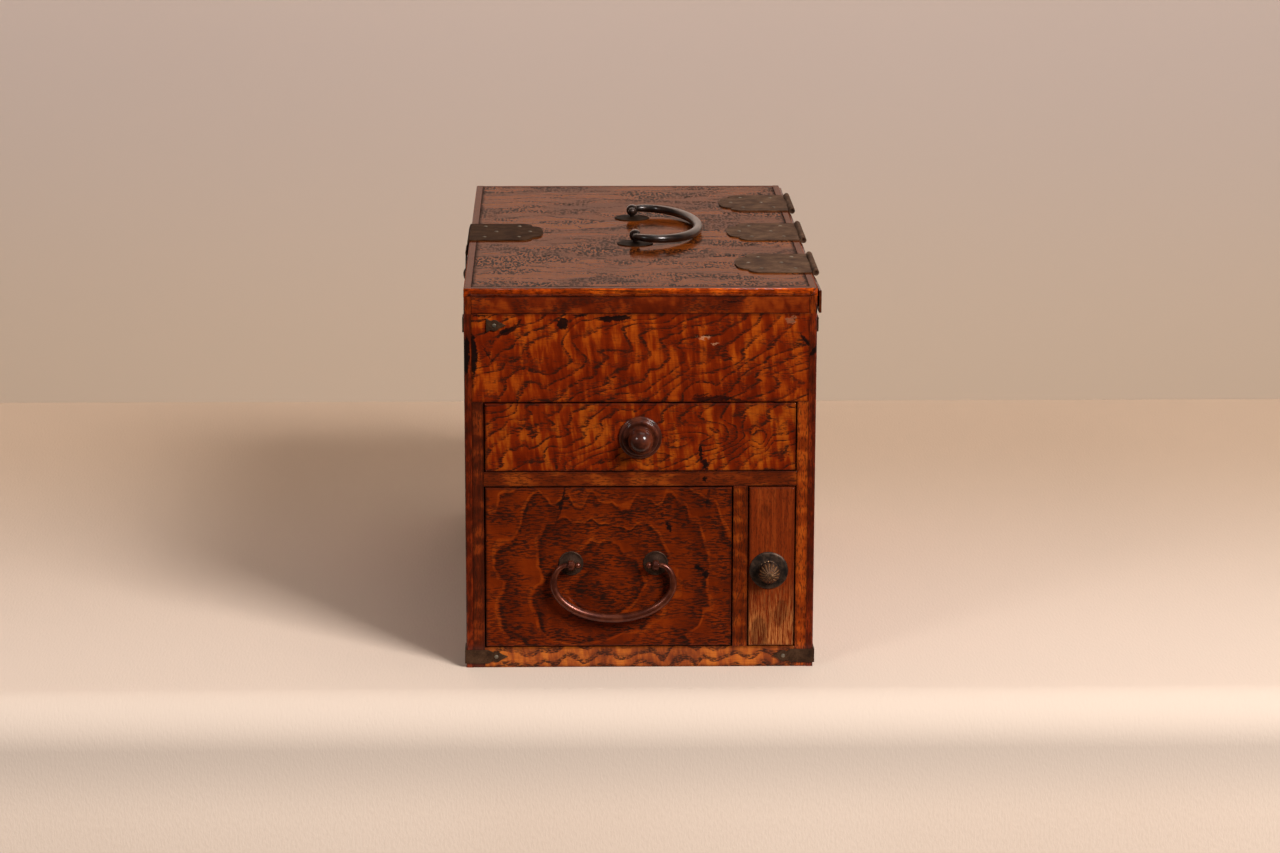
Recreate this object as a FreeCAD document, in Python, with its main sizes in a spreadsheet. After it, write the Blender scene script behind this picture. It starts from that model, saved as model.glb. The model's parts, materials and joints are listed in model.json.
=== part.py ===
import FreeCAD, Part
import math
import os
import Sketcher

# A small upright chest of figured wood. Its lid is hinged along the right side, and three drawers
# slide out of its front end. X points to the hinge side, -Y to the drawers, +Z up. The origin is the
# middle of the base. Lengths are in millimetres and angles in degrees.

doc = FreeCAD.newDocument("SmallChest")
sheet = doc.addObject("Spreadsheet::Sheet", "Sizes")


class Size:
    """A length kept twice: as a formula over the sheet's cells and as its present value."""

    def __init__(self, formula, value):
        self.formula = formula
        self.value = value

    def __float__(self):
        return float(self.value)

    def __add__(self, other):
        other = sized(other)
        return Size(f"({self.formula} + {other.formula})", self.value + other.value)

    def __sub__(self, other):
        other = sized(other)
        return Size(f"({self.formula} - {other.formula})", self.value - other.value)

    def __mul__(self, other):
        other = sized(other)
        return Size(f"({self.formula} * {other.formula})", self.value * other.value)

    def __truediv__(self, other):
        other = sized(other)
        return Size(f"({self.formula} / {other.formula})", self.value / other.value)

    def __radd__(self, other):
        return sized(other) + self

    def __rsub__(self, other):
        return sized(other) - self

    def __rmul__(self, other):
        return sized(other) * self

    def __rtruediv__(self, other):
        return sized(other) / self

    def __neg__(self):
        return sized(0) - self


def sized(number):
    return number if isinstance(number, Size) else Size(str(number), float(number))


def sine(angle):
    return Size(f"sin({angle.formula})", math.sin(math.radians(angle.value)))


def cosine(angle):
    return Size(f"cos({angle.formula})", math.cos(math.radians(angle.value)))


def root(square):
    return Size(f"sqrt({square.formula})", math.sqrt(square.value))


sheet_rows = []


def size(name, value, note):
    """Put one driving size in the sheet and return it."""
    row = len(sheet_rows) + 1
    sheet_rows.append(name)
    sheet.set(f"A{row}", note)
    sheet.set(f"B{row}", str(value))
    sheet.setAlias(f"B{row}", name)
    return Size(f"Sizes.{name}", float(value))


# Case
box_width = size("box_width", 212, "outside width over the side boards")
box_depth = size("box_depth", 383, "outside depth from the drawer end to the back")
box_height = size("box_height", 236, "height to the top of the closed lid")
lid_height = size("lid_height", 15.6, "height of the lid")
side_thickness = size("side_thickness", 11.3, "side boards")
end_thickness = size("end_thickness", 9, "upper front panel and back board")
bead_width = size("bead_width", 4.4, "corner beads, stiles' depth and face laps")
bead_round = size("bead_round", 0.9, "rounding of the beads' outer edges")
base_height = size("base_height", 12.8, "bottom board and bottom rail")
deep_opening = size("deep_opening", 101.2, "height of the two lower drawer openings")
shelf_height = size("shelf_height", 8.9, "middle rail and drawer shelf")
shallow_opening = size("shallow_opening", 43.3, "height of the upper drawer opening")
floor_thickness = size("floor_thickness", 7, "floor of the top compartment")
divider_width = size("divider_width", 8.9, "post and partition between the lower drawers")
narrow_opening = size("narrow_opening", 29.3, "width of the narrow drawer's opening")
rail_depth = size("rail_depth", 9, "rails and post, front to back")
dado_depth = size("dado_depth", 3, "depth of the dados and stub tenons")

# Lid
lid_bead_height = size("lid_bead_height", 4.9, "top beads and lid panel")
rim_thickness = size("rim_thickness", 9, "lid rims")
strip_thickness = size("strip_thickness", 1.6, "facing strips on the lid's hinge side")
strip_margin = size("strip_margin", 1.6, "lid edge above the facing strips")
strip_lift = size("strip_lift", 0.3, "facing strips above the parting line")
strip_spring = size("strip_spring", 0.9, "how far the front strip has sprung off at its end")
strip_gap = size("strip_gap", 1, "facing strips to hinge leaves")

# Drawers
drawer_front = size("drawer_front", 12, "drawer fronts")
drawer_wall = size("drawer_wall", 6, "drawer sides and backs")
drawer_bottom = size("drawer_bottom", 4.5, "drawer bottoms")
drawer_lip = size("drawer_lip", 5, "drawer fronts ahead of the sides")
drawer_side_gap = size("drawer_side_gap", 0.7, "drawer to the opening, each side")
drawer_floor_gap = size("drawer_floor_gap", 0.25, "drawer to the board below")
drawer_top_gap = size("drawer_top_gap", 0.8, "drawer to the rail above")
drawer_stop_gap = size("drawer_stop_gap", 0.3, "drawer to the back board")
drawer_edge = size("drawer_edge", 0.7, "chamfer round the drawer fronts")

# Iron sheet and nails
iron = size("iron", 0.9, "sheet of the hinges, hasp and corner irons")
nail_radius = size("nail_radius", 1.3, "nail heads")
nail_rise = size("nail_rise", 0.4, "nail heads")
fit = size("fit", 0.05, "radial clearance of pins and bolts in their bores")

# Hinges
hinge_share = size("hinge_share", 0.295, "hinge to hinge as a share of the depth, one hinge in the middle")
hinge_spacing = box_depth * hinge_share
hinge_width = size("hinge_width", 62, "length of a hinge barrel and width of its leaves")
leaf_length = size("leaf_length", 45.8, "leaf from the hinge side to its tip")
leaf_shoulder = size("leaf_shoulder", 38.5, "leaf from the hinge side to its shoulders")
leaf_corner = size("leaf_corner", 8, "rounding of the shoulders")
leaf_lobe = size("leaf_lobe", 20, "half width of the lobe at the leaf's end")
leaf_notch = size("leaf_notch", 1.6, "notch between shoulder and lobe")
lobe_corner = size("lobe_corner", 7.5, "rounding of the lobe's corners")
barrel_radius = size("barrel_radius", 2, "outside of the rolled knuckles")
barrel_rise = size("barrel_rise", 0.4, "hinge axis above the lid's top")
joggle = size("joggle", 0.3, "case leaf clear of the lid's rim")
knuckle_gap = size("knuckle_gap", 0.3, "between neighbouring knuckles")
hinge_pin = size("hinge_pin", 1.05, "radius of the hinge pins")
pin_recess = size("pin_recess", 1, "pins short of the barrel's ends")
case_leaf_drop = size("case_leaf_drop", 1, "case leaf's nailed part below the parting line")
leaf_nail_across = size("leaf_nail_across", 19.6, "outer leaf nails from the leaf's middle")
leaf_nail_bend = size("leaf_nail_bend", 9.5, "first leaf nails from the bend")
leaf_nail_middle = size("leaf_nail_middle", 16.9, "middle leaf nail from the bend")
leaf_nail_shoulder = size("leaf_nail_shoulder", 8.3, "outer leaf nails from the shoulders")
leaf_nail_tip = size("leaf_nail_tip", 8.3, "last leaf nail from the tip")

# Hasp
hasp_width = size("hasp_width", 60, "hasp plate along the lid's left edge")
hasp_length = size("hasp_length", 47, "hasp plate on the lid's top")
hasp_shoulder = size("hasp_shoulder", 40, "hasp plate to its shoulders")
hasp_drop = size("hasp_drop", 10.2, "hasp plate down the lid's left side")
hasp_bulge = size("hasp_bulge", 1, "hollow behind the hasp plate's side")
hasp_axis_out = size("hasp_axis_out", 1.8, "hasp pin outside the lid's left side")
hasp_axis_drop = size("hasp_axis_drop", 0.8, "hasp pin below the plate's lower edge")
hasp_knuckle = size("hasp_knuckle", 10, "width of the tongue's knuckle")
hasp_roll_radius = size("hasp_roll_radius", 1.4, "outside of the hasp's rolled knuckles")
hasp_pin_radius = size("hasp_pin_radius", 0.55, "radius of the hasp pin")
tongue_width = size("tongue_width", 24, "hasp tongue and its three knuckles")
tongue_length = size("tongue_length", 24.5, "hasp tongue below its pin")
tongue_corner = size("tongue_corner", 8, "tongue's tapers above and below its straight sides")
button_drop = size("button_drop", 16, "button below the hasp pin")
button_radius = size("button_radius", 4.3, "button on the hasp tongue")
button_rise = size("button_rise", 1.7, "button on the hasp tongue")
loop_width = size("loop_width", 2.2, "hasp loop, along the side")
loop_height = size("loop_height", 6.5, "hasp loop")
loop_reach = size("loop_reach", 3.6, "hasp loop into the side board")
loop_hole = size("loop_hole", 1.5, "radius of the loop's hole")
slot_gap = size("slot_gap", 1.2, "lock slot clear of the loop")
lock_width = size("lock_width", 27, "lock plate")
lock_height = size("lock_height", 25, "lock plate")
lock_nail = size("lock_nail", 0.7, "lock plate's nail heads")
lock_nail_inset = size("lock_nail_inset", 2.6, "lock plate's nails from its edges")

# Corner irons
strap_base = size("strap_base", 2.7, "lower irons above the floor")
strap_height = size("strap_height", 8.5, "straight part of a corner iron")
strap_straight = size("strap_straight", 13.4, "straight part from the corner")
strap_neck = size("strap_neck", 5.6, "height of the neck")
strap_nail = size("strap_nail", 18.3, "nail from the corner")
strap_lobe = size("strap_lobe", 3.4, "radius of the lobe round the nail")
strap_point = size("strap_point", 35, "angle on the lobe where its point starts")
strap_tip = size("strap_tip", 25.4, "tip from the corner")
upper_strap_drop = size("upper_strap_drop", 2.6, "upper irons below the parting line")

# Carrying bail on the lid and drop bail on the deep drawer
carry_span = size("carry_span", 96, "eyes of the carrying bail")
carry_offset = size("carry_offset", 8, "carrying bail behind the lid's middle")
carry_height = size("carry_height", 5.5, "carrying bail's axis above the lid")
carry_half_width = size("carry_half_width", 58, "centre line at its widest")
carry_widest = size("carry_widest", 11, "widest point from the axis")
carry_reach = size("carry_reach", 42, "centre line at the grip")
carry_thin = size("carry_thin", 1.9, "rod radius in the eyes")
carry_thick = size("carry_thick", 3, "rod radius at the grip")
carry_rosette = size("carry_rosette", 11.5, "rosette radius")
carry_rest_gap = size("carry_rest_gap", 0.3, "grip above the lid at rest")
drop_span = size("drop_span", 51.5, "eyes of the drop bail")
drop_height = size("drop_height", 65.8, "drop bail's axis above the base")
drop_stand = size("drop_stand", 5, "drop bail's axis ahead of the drawer front")
drop_half_width = size("drop_half_width", 36.4, "centre line at its widest")
drop_widest = size("drop_widest", 11, "widest point from the axis")
drop_reach = size("drop_reach", 33.3, "centre line at the grip")
drop_thin = size("drop_thin", 1.35, "rod radius in the eyes")
drop_thick = size("drop_thick", 2.75, "rod radius at the grip")
drop_rosette = size("drop_rosette", 7.6, "rosette radius")
drop_offset = size("drop_offset", 2.8, "drop bail to the right of its drawer's middle")
rosette_rim = size("rosette_rim", 0.6, "rosette thickness at its rim")
rosette_rise = size("rosette_rise", 1.3, "rosette thickness at its middle")
rosette_flat = size("rosette_flat", 1.5, "flat of a rosette round its hole")
eye_wall = size("eye_wall", 1.7, "metal round the bore of an eye")
eye_length = size("eye_length", 3.9, "eye along the bail's axis")
eye_edge = size("eye_edge", 0.7, "chamfer on the eyes")
stem_radius = size("stem_radius", 1.5, "eye post through the board")
clinch_radius = size("clinch_radius", 3.4, "riveted end of an eye post")
clinch_height = size("clinch_height", 1.2, "riveted end of an eye post")
ball_gap = size("ball_gap", 0.4, "bail's end balls and shoulders to the eyes")
ball_excess = size("ball_excess", 0.55, "end balls thicker than the rod")

# Knobs
knob_height = size("knob_height", 144.4, "turned knob above the base")
knob_base = size("knob_base", 13, "turned knob's base radius")
knob_base_depth = size("knob_base_depth", 1.8, "turned knob's base")
knob_ring = size("knob_ring", 11, "turned knob's ring radius")
knob_ring_depth = size("knob_ring_depth", 1.6, "turned knob's ring")
knob_edge = size("knob_edge", 0.9, "chamfer on the knobs' bases and ring")
knob_neck = size("knob_neck", 4.7, "turned knob's neck radius")
knob_neck_length = size("knob_neck_length", 0.6, "turned knob's neck")
knob_ball = size("knob_ball", 7.6, "turned knob's ball radius")
knob_shank = size("knob_shank", 2.2, "knob shank radius")
knob_shank_depth = size("knob_shank_depth", 8, "knob shank in the drawer front")
flower_height = size("flower_height", 61, "chrysanthemum knob above the base")
flower_offset = size("flower_offset", 1.6, "chrysanthemum knob left of its drawer's middle")
flower_base = size("flower_base", 12, "chrysanthemum knob's base radius")
flower_base_depth = size("flower_base_depth", 1.3, "chrysanthemum knob's base")
flower_neck = size("flower_neck", 5.2, "chrysanthemum knob's neck radius")
flower_ball = size("flower_ball", 6.8, "chrysanthemum knob's head radius")
petal_count = size("petal_count", 16, "petals round the flower")
petal_slant = size("petal_slant", 48, "angle on the head where the grooves are deepest")
petal_groove = size("petal_groove", 0.55, "radius of the grooves between petals")
petal_depth = size("petal_depth", 0.45, "depth of the grooves between petals")

# Places that several pieces share
right = box_width / 2
left = -right
front = -box_depth / 2
back = box_depth / 2
lid_top = box_height
parting = box_height - lid_height
inside = right - side_thickness
bead_line = right - bead_width
deep_top = base_height + deep_opening
shelf_top = deep_top + shelf_height
compartment_base = shelf_top + shallow_opening
compartment_floor = compartment_base + floor_thickness
divider_right = inside - narrow_opening
divider_left = divider_right - divider_width
rail_back = front + rail_depth
end_front = back - end_thickness
lid_panel_base = lid_top - lid_bead_height
hinge_x = right + joggle + barrel_radius
hinge_z = lid_top + barrel_rise
hasp_x = left - hasp_axis_out
hasp_z = lid_top - hasp_drop - hasp_axis_drop
carry_z = lid_top + carry_height
carry_eyes = [carry_offset - carry_span / 2, carry_offset + carry_span / 2]

# Each way that a plate or turned piece can face: local Z points out of the board, local Y up.
UPRIGHT = FreeCAD.Rotation(FreeCAD.Vector(1, 0, 0), 90)
ABOUT_Z = FreeCAD.Vector(0, 0, 1)
UP = FreeCAD.Rotation()
FRONT = UPRIGHT
RIGHT = FreeCAD.Rotation(ABOUT_Z, 90) * UPRIGHT
BACK = FreeCAD.Rotation(ABOUT_Z, 180) * UPRIGHT
LEFT = FreeCAD.Rotation(ABOUT_Z, -90) * UPRIGHT


def bind(thing, prop, value):
    thing.setExpression(prop, sized(value).formula)


def place(thing, facing, where):
    """Turn a piece to face one way and bind its base point to the sheet."""
    thing.Placement = FreeCAD.Placement(FreeCAD.Vector(), facing)
    for axis, value in zip("xyz", where):
        bind(thing, f"Placement.Base.{axis}", value)
    return thing


def block(name, x, y, z):
    """A squared board between two places along each axis."""
    board = doc.addObject("Part::Box", name)
    for edge, span in zip(("Length", "Width", "Height"), (x, y, z)):
        bind(board, edge, sized(span[1]) - span[0])
    return place(board, UP, (x[0], y[0], z[0]))


def rod(name, facing, start, radius, length):
    bar = doc.addObject("Part::Cylinder", name)
    bind(bar, "Radius", radius)
    bind(bar, "Height", length)
    return place(bar, facing, start)


def join(name, *shapes):
    whole = doc.addObject("Part::MultiFuse", name)
    whole.Shapes = list(shapes)
    whole.Refine = True
    return whole


def cut(name, base, *tools):
    """Take the tools away from the base."""
    rest = doc.addObject("Part::Cut", name)
    rest.Base = base
    rest.Tool = tools[0] if len(tools) == 1 else join(f"{name}_tools", *tools)
    rest.Refine = True
    return rest


def group(name, shapes):
    """Separate solids of one kind that share a node."""
    several = doc.addObject("Part::Compound", name)
    several.Links = list(shapes)
    return several


def eased(name, base, distance, wanted, kind="Part::Chamfer"):
    """Ease the straight edges of a base that the test picks."""
    doc.recompute()
    finished = doc.addObject(kind, name)
    finished.Base = base
    edges = enumerate(base.Shape.Edges, 1)
    finished.Edges = [(i, float(distance), float(distance)) for i, edge in edges if wanted(edge)]
    return finished


def at(edge, axis, place_on_axis):
    """Whether a whole edge lies at one place along an axis."""
    box = edge.BoundBox
    low, high = {"x": (box.XMin, box.XMax), "y": (box.YMin, box.YMax), "z": (box.ZMin, box.ZMax)}[axis]
    return abs(low - float(place_on_axis)) < 0.01 and abs(high - float(place_on_axis)) < 0.01


# Sketched pieces

def sketch_in(body, plane):
    drawing = body.newObject("Sketcher::SketchObject", f"{body.Name}_sketch")
    origin_plane = [item for item in body.Origin.OriginFeatures if item.Role == plane][0]
    drawing.AttachmentSupport = (origin_plane, [""])
    drawing.MapMode = "FlatFace"
    return drawing


def hold(drawing, direction, geometry, point, value):
    """Fix one coordinate of a point, to an axis where it is 0."""
    value = sized(value)
    if value.formula == "0":
        axis = -2 if direction == "DistanceX" else -1
        drawing.addConstraint(Sketcher.Constraint("PointOnObject", geometry, point, axis))
        return
    index = drawing.addConstraint(
        Sketcher.Constraint(direction, -1, 1, geometry, point, float(value)))
    drawing.setExpression(f"Constraints[{index}]", value.formula)


def outline(drawing, steps):
    """Draw a closed outline.

    Each step is (x, y) for a straight side to that corner, or (x, y, centre x, centre y, turn) for a
    round one, where turn is 1 anticlockwise and -1 clockwise. The last step closes the outline.
    """
    corners = [step[:2] for step in steps]
    ends = []
    for number, step in enumerate(steps):
        start = [float(value) for value in corners[number - 1]]
        end = [float(value) for value in corners[number]]
        first, last = FreeCAD.Vector(*start, 0), FreeCAD.Vector(*end, 0)
        if len(step) == 2:
            index = drawing.addGeometry(Part.LineSegment(first, last))
            ends.append((index, 1, 2))
            continue
        centre = FreeCAD.Vector(float(step[2]), float(step[3]), 0)
        circle = Part.Circle(centre, FreeCAD.Vector(0, 0, 1), (first - centre).Length)
        begin, finish = (first, last) if step[4] > 0 else (last, first)
        angles = [math.atan2((p - centre).y, (p - centre).x) for p in (begin, finish)]
        index = drawing.addGeometry(Part.ArcOfCircle(circle, angles[0], angles[1]))
        ends.append((index, 1, 2) if step[4] > 0 else (index, 2, 1))
    for number, (index, start_point, end_point) in enumerate(ends):
        next_index, next_start, next_end = ends[(number + 1) % len(ends)]
        drawing.addConstraint(Sketcher.Constraint("Coincident", index, end_point, next_index, next_start))
        hold(drawing, "DistanceX", index, end_point, corners[number][0])
        hold(drawing, "DistanceY", index, end_point, corners[number][1])
        if len(steps[number]) > 2:
            rise = abs(float(corners[number][1]) - float(corners[number - 1][1]))
            run = abs(float(corners[number][0]) - float(corners[number - 1][0]))
            if rise > run:
                hold(drawing, "DistanceX", index, 3, steps[number][2])
            else:
                hold(drawing, "DistanceY", index, 3, steps[number][3])


def plate(name, facing, where, steps, thickness):
    """A piece of one outline and one thickness."""
    body = doc.addObject("PartDesign::Body", name)
    drawing = sketch_in(body, "XY_Plane")
    outline(drawing, steps)
    pad = body.newObject("PartDesign::Pad", f"{name}_pad")
    pad.Profile = drawing
    bind(pad, "Length", thickness)
    return place(body, facing, where)


def turned(name, facing, where, steps):
    """A piece turned about its local Z from half its outline, (radius, height)."""
    body = doc.addObject("PartDesign::Body", name)
    drawing = sketch_in(body, "XZ_Plane")
    outline(drawing, steps)
    revolution = body.newObject("PartDesign::Revolution", f"{name}_turning")
    revolution.Profile = drawing
    revolution.ReferenceAxis = (drawing, ["V_Axis"])
    revolution.Angle = 360
    return place(body, facing, where)


nodes = {}


def node(thing, name):
    """Name a finished piece."""
    thing.Label = name
    nodes[name] = thing
    return thing


# Case: boards, frame and beads

def board_with_laps(name, y_face, y_inner, z):
    """An end board: its face laps over the side boards, and its back fits between them."""
    low, high = (y_face, y_inner) if float(y_face) < float(y_inner) else (y_inner, y_face)
    lap_start, lap_end = (low + bead_width, high) if float(y_face) < 0 else (low, high - bead_width)
    blank = block(f"{name}_blank", (-bead_line, bead_line), (low, high), z)
    rebates = [block(f"{name}_rebate_{i}", span, (lap_start, lap_end), z)
               for i, span in enumerate(((-bead_line, -inside), (inside, bead_line)))]
    return cut(name, blank, *rebates)


def side_board(name, side):
    """A side board with a rebate for the bottom and dados for the shelf and the floor above it."""
    def across(low, high):
        return (low, high) if side > 0 else (-high, -low)

    blank = block(f"{name}_blank", across(inside, right), (front + bead_width, back - bead_width),
                  (0, parting))
    dado_x = across(inside, inside + dado_depth)
    rows = {
        "bottom": (front + bead_width, 0, base_height),
        "shelf": (front + bead_width, deep_top, shelf_top),
        "floor": (front + end_thickness, compartment_base, compartment_floor),
    }
    dados = [block(f"{name}_{row}_dado", dado_x, (start, end_front), (low, high))
             for row, (start, low, high) in rows.items()]
    return blank, dados


right_blank, right_dados = side_board("right_side", 1)
node(cut("right_side", right_blank, *right_dados), "right_side_board")

loop_z = hasp_z - button_drop
slot_bottom = loop_z - loop_height / 2 - slot_gap
left_blank, left_dados = side_board("left_side", -1)
lock_slot = block("left_side_slot", (left, left + loop_reach + slot_gap),
                  (-(loop_width / 2 + slot_gap), loop_width / 2 + slot_gap), (slot_bottom, parting))
node(cut("left_side", left_blank, lock_slot, *left_dados), "left_side_board")

node(board_with_laps("back_panel", back, end_front, (0, parting)), "back_board")
node(board_with_laps("front_panel", front, front + end_thickness, (compartment_base, parting)),
     "upper_front_panel")

for name, span in (("left_stile", (-bead_line, -inside)), ("right_stile", (inside, bead_line))):
    node(block(name, span, (front, front + bead_width), (0, compartment_base)), name)


def rail(name, z, mortises):
    """A rail with stub tenons behind the stiles and mortises for the divider post."""
    face = block(f"{name}_face", (-inside, inside), (front, rail_back), z)
    tenons = block(f"{name}_tenons", (-(inside + dado_depth), inside + dado_depth),
                   (front + bead_width, rail_back), z)
    mortise = block(f"{name}_mortise", (divider_left, divider_right),
                    (front + bead_width, rail_back), mortises)
    return cut(name, join(f"{name}_blank", face, tenons), mortise)


node(rail("bottom_rail", (0, base_height), (base_height - dado_depth, base_height)), "bottom_rail")
node(rail("middle_rail", (deep_top, shelf_top), (deep_top, deep_top + dado_depth)), "middle_rail")

post_face = block("post_face", (divider_left, divider_right), (front, rail_back), (base_height, deep_top))
post_tenons = block("post_tenons", (divider_left, divider_right), (front + bead_width, rail_back),
                    (base_height - dado_depth, deep_top + dado_depth))
node(join("divider_post", post_face, post_tenons), "divider_post")

housed = (-(inside + dado_depth), inside + dado_depth)
between = (rail_back, end_front)
bottom_blank = block("bottom_blank", housed, between, (0, base_height))
bottom_dado = block("bottom_dado", (divider_left, divider_right), between,
                    (base_height - dado_depth, base_height))
node(cut("bottom_board", bottom_blank, bottom_dado), "bottom_board")
shelf_blank = block("shelf_blank", housed, between, (deep_top, shelf_top))
shelf_dado = block("shelf_dado", (divider_left, divider_right), between, (deep_top, deep_top + dado_depth))
node(cut("drawer_shelf", shelf_blank, shelf_dado), "drawer_shelf")
node(block("partition_board", (divider_left, divider_right), between,
           (base_height - dado_depth, deep_top + dado_depth)), "partition_board")
node(block("compartment_floor", housed, (front + end_thickness, end_front),
           (compartment_base, compartment_floor)), "compartment_floor")


def corner_beads(name, z):
    """Four square strips let into the upright corners, their outer edges rounded."""
    strips = []
    for i, x in enumerate(((left, -bead_line), (bead_line, right))):
        for j, y in enumerate(((front, front + bead_width), (back - bead_width, back))):
            strip = block(f"{name}_{i}{j}", x, y, z)
            outer_x, outer_y = x[i], y[j]
            strips.append(eased(f"{name}_{i}{j}_eased", strip, bead_round, lambda edge: (
                at(edge, "x", outer_x) and at(edge, "y", outer_y)), "Part::Fillet"))
    return strips


node(group("body_corner_beads", corner_beads("body_bead", (0, parting))), "body_corner_beads")


# Lid: panel, rims, beads and the facing strips on the hinge side

lid_panel_blank = block("lid_panel_blank", (-bead_line, bead_line), (front + bead_width, back - bead_width),
                        (lid_panel_base, lid_top))
post_holes = [rod(f"lid_panel_hole_{i}", UP, (0, y, lid_panel_base), stem_radius + fit, lid_bead_height)
              for i, y in enumerate(carry_eyes)]
node(cut("lid_panel", lid_panel_blank, *post_holes), "lid_panel")

rim_z = (parting, lid_panel_base)
rim_inside = right - rim_thickness
for name, face, inner in (("lid_front_rim", front, front + rim_thickness),
                          ("lid_back_rim", back - rim_thickness, back)):
    y_lap = (front, front + bead_width) if name == "lid_front_rim" else (back - bead_width, back)
    lap = block(f"{name}_lap", (-bead_line, bead_line), y_lap, rim_z)
    core = block(f"{name}_core", (-rim_inside, rim_inside), (face, inner), rim_z)
    node(join(name, lap, core), name)
for name, x in (("lid_left_rim", (left, -rim_inside)), ("lid_right_rim", (rim_inside, right))):
    node(block(name, x, (front + bead_width, back - bead_width), rim_z), name)

node(group("lid_corner_beads", corner_beads("lid_bead", rim_z)), "lid_corner_beads")

top_beads = []
for i, x in enumerate(((left, -bead_line), (bead_line, right))):
    strip = block(f"lid_side_bead_{i}", x, (front, back), (lid_panel_base, lid_top))
    outer = x[i]
    top_beads.append(eased(f"lid_side_bead_{i}_eased", strip, bead_round, lambda edge: (
        at(edge, "x", outer) and at(edge, "z", lid_top)), "Part::Fillet"))
for j, y in enumerate(((front, front + bead_width), (back - bead_width, back))):
    strip = block(f"lid_end_bead_{j}", (-bead_line, bead_line), y, (lid_panel_base, lid_top))
    outer = y[j]
    top_beads.append(eased(f"lid_end_bead_{j}_eased", strip, bead_round, lambda edge: (
        at(edge, "y", outer) and at(edge, "z", lid_top)), "Part::Fillet"))
node(group("lid_top_beads", top_beads), "lid_top_beads")

hinge_places = [hinge_spacing * step for step in (-1, 0, 1)]
strip_z = (parting + strip_lift, lid_top - strip_margin)
leaf_half = hinge_width / 2 + strip_gap
strips = []
for i in (0, 1):
    strips.append(block(f"lid_strip_{i}", (right, right + strip_thickness),
                        (hinge_places[i] + leaf_half, hinge_places[i + 1] - leaf_half), strip_z))
strips.append(block("lid_strip_back", (right, right + strip_thickness),
                    (hinge_places[2] + leaf_half, back), strip_z))
sprung_length = hinge_places[0] - leaf_half - front
sprung = doc.addObject("Part::Box", "lid_strip_sprung")
bind(sprung, "Length", strip_thickness)
bind(sprung, "Width", sprung_length)
bind(sprung, "Height", strip_z[1] - strip_z[0])
lean = math.degrees(math.asin(float(strip_spring) / float(sprung_length)))
place(sprung, FreeCAD.Rotation(ABOUT_Z, lean), (right + strip_spring, front, strip_z[0]))
strips.append(sprung)
node(group("lid_side_strips", strips), "lid_side_strips")


# Hinges: leaves with shaped ends, rolled knuckles and pins

def leaf_steps(width, length, shoulder):
    """A leaf from its hinge line to its tip: rounded shoulders, a notch each side and a broad, blunt lobe."""
    half = width / 2
    lobe_start = shoulder - leaf_notch
    rise = length - lobe_start
    inset = leaf_lobe - lobe_corner
    end_radius = (inset * inset + rise * rise - lobe_corner * lobe_corner) / (2 * (rise - lobe_corner))
    end_centre = length - end_radius
    # the end's flat curve meets the corner's curve on the line through their centres
    share = end_radius / (end_radius - lobe_corner)
    meet_x = inset * share
    meet_y = end_centre + (lobe_start - end_centre) * share
    turn = shoulder - leaf_corner
    return [
        (half, 0),
        (half, turn),
        (half - leaf_corner, shoulder, half - leaf_corner, turn, 1),
        (leaf_lobe, lobe_start),
        (meet_x, meet_y, inset, lobe_start, 1),
        (-meet_x, meet_y, 0, end_centre, 1),
        (-leaf_lobe, lobe_start, -inset, lobe_start, 1),
        (leaf_corner - half, shoulder),
        (-half, turn, leaf_corner - half, turn, 1),
        (-half, 0),
    ]


bore_radius = hinge_pin + fit
middle_half = hinge_width / 6
end_start = middle_half + knuckle_gap
end_length = hinge_width / 2 - end_start

for name, middle in zip(("front", "middle", "back"), hinge_places):
    bore = rod(f"{name}_bore", BACK, (hinge_x, middle - hinge_width, hinge_z), bore_radius,
               hinge_width * 2)

    lid_leaf = plate(f"{name}_lid_plate", FreeCAD.Rotation(ABOUT_Z, 90), (right, middle, lid_top),
                     leaf_steps(hinge_width, leaf_length, leaf_shoulder), iron)
    arm = block(f"{name}_lid_arm", (right - iron, hinge_x), (middle - middle_half, middle + middle_half),
                (lid_top, lid_top + iron))
    roll = rod(f"{name}_lid_roll", BACK, (hinge_x, middle - middle_half, hinge_z), barrel_radius,
               middle_half * 2)
    node(cut(f"{name}_lid_leaf", join(f"{name}_lid_blank", lid_leaf, arm, roll), bore),
         f"{name}_hinge_lid_leaf")

    down = RIGHT * FreeCAD.Rotation(ABOUT_Z, 180)
    case_plate = plate(f"{name}_case_plate", down, (right, middle, parting - case_leaf_drop),
                       leaf_steps(hinge_width, leaf_length, leaf_shoulder), iron)
    riser_x = (right + joggle, right + joggle + iron)
    riser = block(f"{name}_riser", riser_x, (middle - hinge_width / 2, middle + hinge_width / 2),
                  (parting - case_leaf_drop - iron, hinge_z))
    clearing = block(f"{name}_clearing", (right, hinge_x),
                     (middle - end_start, middle + end_start),
                     (hinge_z - barrel_radius - knuckle_gap, hinge_z + barrel_radius))
    rolls = [rod(f"{name}_case_roll_{i}", BACK, (hinge_x, y, hinge_z), barrel_radius, end_length)
             for i, y in enumerate((middle - hinge_width / 2, middle + end_start))]
    node(cut(f"{name}_case_leaf", join(f"{name}_case_blank", case_plate, riser, *rolls), bore, clearing),
         f"{name}_hinge_case_leaf")

node(group("hinge_pins", [
    rod(f"hinge_pin_{i}", BACK, (hinge_x, middle - hinge_width / 2 + pin_recess, hinge_z), hinge_pin,
        hinge_width - 2 * pin_recess)
    for i, middle in enumerate(hinge_places)]), "hinge_pins")


# Hasp: a plate bent over the lid's left edge, its tongue, and the lock plate below

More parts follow.
